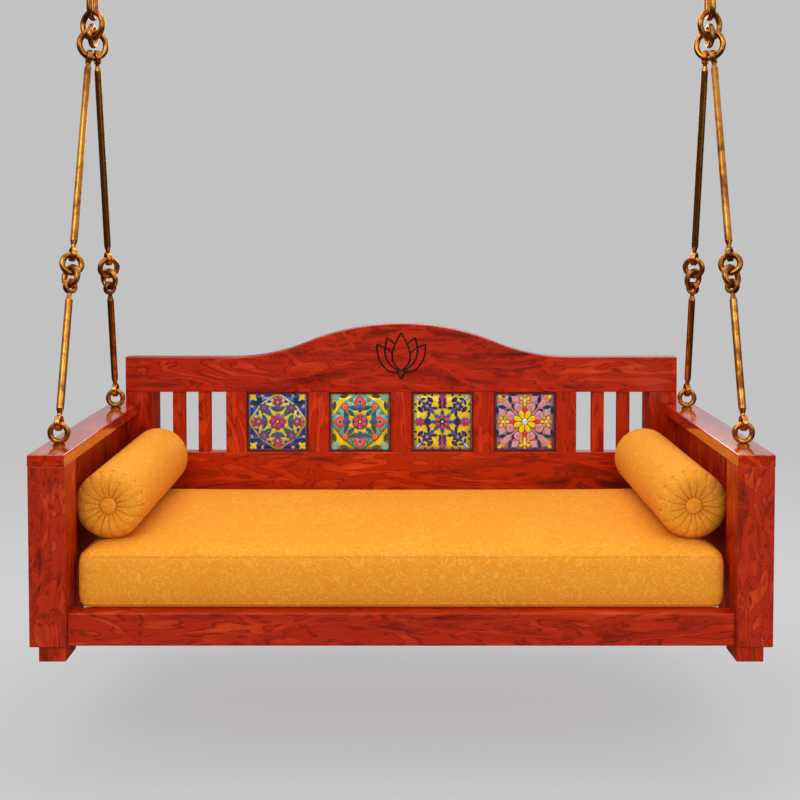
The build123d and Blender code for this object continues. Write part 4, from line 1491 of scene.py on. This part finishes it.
@dataclass
class Studio:
    """The pale floor and backdrop, the soft lamps and the camera."""

    floor_z: float = -0.24
    grey: Colour = screen_colour(194, 194, 195)
    camera_place: Point = (0.0, -2.463, 0.9013)
    tilt: float = 2.0
    lens: float = 47.34
    shift: Pair = (-0.0015, -0.176)
    lamps: tuple[Lamp, ...] = (
        Lamp("key", (-1.3, -2.7, 2.5), (0.0, 0.0, 0.35), (2.4, 1.6), 40),
        Lamp("fill", (1.9, -2.6, 1.4), (0.0, 0.0, 0.4), (1.8, 1.8), 19),
        Lamp("overhead", (0.0, 0.3, 2.9), (0.0, 0.0, 0.3), (2.6, 1.4), 30),
        Lamp("back", (0.6, 2.8, 1.9), (0.0, 0.0, 0.5), (2.2, 1.4), 28),
    )
    fade_from: float = 1.2
    fade_to: float = 3.6
    flat_share: Pair = (0.75, 1.0)

    def world(self) -> None:
        """Set a world that lights softly from above and looks plain grey to camera and gloss."""
        world = bpy.data.worlds.new("studio")
        bpy.context.scene.world = world
        world.use_nodes = True
        bench = NodeBench(world.node_tree)
        world.node_tree.nodes.clear()
        rays = bench.add("ShaderNodeLightPath").outputs
        direction = bench.add("ShaderNodeTexCoord").outputs["Generated"]
        height = bench.add("ShaderNodeSeparateXYZ", {0: direction}).outputs[2]
        soft = bench.ramp(bench.math("MULTIPLY_ADD", height, 0.5, 0.5),
                          [(0.0, (0.30, 0.29, 0.28, 1.0)), (0.5, (0.46, 0.46, 0.47, 1.0)),
                           (1.0, (0.92, 0.93, 0.95, 1.0))])
        seen = bench.math("MAXIMUM", rays["Is Camera Ray"], rays["Is Transmission Ray"])
        shine = bench.ramp(bench.math("MULTIPLY_ADD", height, 0.5, 0.5),
                           [(0.50, (0.02, 0.012, 0.008, 1.0)), (0.56, (0.36, 0.35, 0.34, 1.0)),
                            (0.64, (0.66, 0.66, 0.67, 1.0)), (1.0, (0.92, 0.93, 0.96, 1.0))])
        colour = bench.blend(rays["Is Glossy Ray"], soft, shine)
        colour = bench.blend(seen, colour, self.grey)
        sky = bench.add("ShaderNodeBackground", {"Color": colour, "Strength": 1.0})
        bench.add("ShaderNodeOutputWorld", {"Surface": sky.outputs[0]})

    def floor(self) -> None:
        """Lay the floor, which fades into the backdrop away from the swing."""
        half = 40.0
        made = mesh_object("studio_floor", [(-half, -half, self.floor_z), (half, -half, self.floor_z),
                                            (half, half, self.floor_z), (-half, half, self.floor_z)], [(0, 1, 2, 3)])
        material, bench, shader = start_material("studio_grey")
        place = bench.add("ShaderNodeTexCoord").outputs["Object"]
        reach = bench.add("ShaderNodeVectorMath", {0: bench.scaled(place, (1.0, 1.0, 0.0))},
                          operation="LENGTH").outputs["Value"]
        fade = bench.band(reach, self.fade_from, self.fade_to)
        bench.feed(shader.inputs["Base Color"], (0.76, 0.76, 0.77, 1.0))
        shader.inputs["Roughness"].default_value = 0.9
        shader.inputs["Specular IOR Level"].default_value = 0.1
        plain = bench.add("ShaderNodeEmission", {"Color": self.grey, "Strength": 1.0})
        factor = bench.math("MULTIPLY_ADD", fade, self.flat_share[1] - self.flat_share[0], self.flat_share[0])
        mixed = bench.add("ShaderNodeMixShader", {0: factor, 1: shader.outputs[0], 2: plain.outputs[0]})
        mirrored = bench.add("ShaderNodeEmission", {"Color": (0.03, 0.02, 0.015, 1.0), "Strength": 1.0})
        glossy = bench.add("ShaderNodeLightPath").outputs["Is Glossy Ray"]
        mixed = bench.add("ShaderNodeMixShader", {0: glossy, 1: mixed.outputs[0], 2: mirrored.outputs[0]})
        bench.feed(material.node_tree.nodes["Material Output"].inputs["Surface"], mixed.outputs[0])
        made.data.materials.append(material)

    def build(self) -> None:
        """Set up the floor, the world, the lamps and the camera."""
        scene = bpy.context.scene
        scene.view_settings.view_transform = "Standard"
        self.world()
        self.floor()
        for lamp in self.lamps:
            lamp.hang()
        data = bpy.data.cameras.new("studio_camera")
        data.lens, data.sensor_width = self.lens, 36.0
        data.shift_x, data.shift_y = self.shift
        data.clip_start, data.clip_end = 0.05, 200.0
        camera = bpy.data.objects.new("studio_camera", data)
        camera.location = self.camera_place
        camera.rotation_euler = (math.radians(90 - self.tilt), 0.0, 0.0)
        scene.collection.objects.link(camera)
        scene.camera = camera
        log.info("studio: floor at %.2f m, %g mm lens", self.floor_z, self.lens)


def main() -> None:
    """Build the swing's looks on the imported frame."""
    logging.basicConfig(level=logging.INFO, format="%(name)s: %(message)s")
    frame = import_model()
    cord = ShapeTree("swept_cord", [("Radius", "NodeSocketFloat"), ("Sides", "NodeSocketInt")], sweep_round)
    stitch = ShapeTree("stitches", [("Pitch", "NodeSocketFloat"), ("Length", "NodeSocketFloat"),
                                    ("Thickness", "NodeSocketFloat")], sew_stitches)
    ring = ShapeTree("ring_of_motifs", [("Copies", "NodeSocketInt"), ("Radius", "NodeSocketFloat"),
                                        ("Start", "NodeSocketFloat"), ("Turn", "NodeSocketFloat"),
                                        ("Centre", "NodeSocketVector")], ring_of_motifs)
    Bench().dress(frame["nodes"])
    LotusCarving().carve(frame["nodes"]["crest_rail"], cord)
    for tile in (cobalt_tile(), lemon_tile(), indigo_tile(), rose_tile()):
        node = frame["nodes"][f"tile_{tile.number}"]
        node.data.materials.clear()
        node.data.materials.append(tile.ground.value.material())
        tile.paint(ring)
    resting = Resting(tuple(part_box(f"bolster_{side}") for side in ("left", "right")))
    Mattress().build(cord, stitch, resting.ceiling)
    for side in ("left", "right"):
        Bolster(side).build(cord)
    Studio().build()


if __name__ == "__main__":
    main()
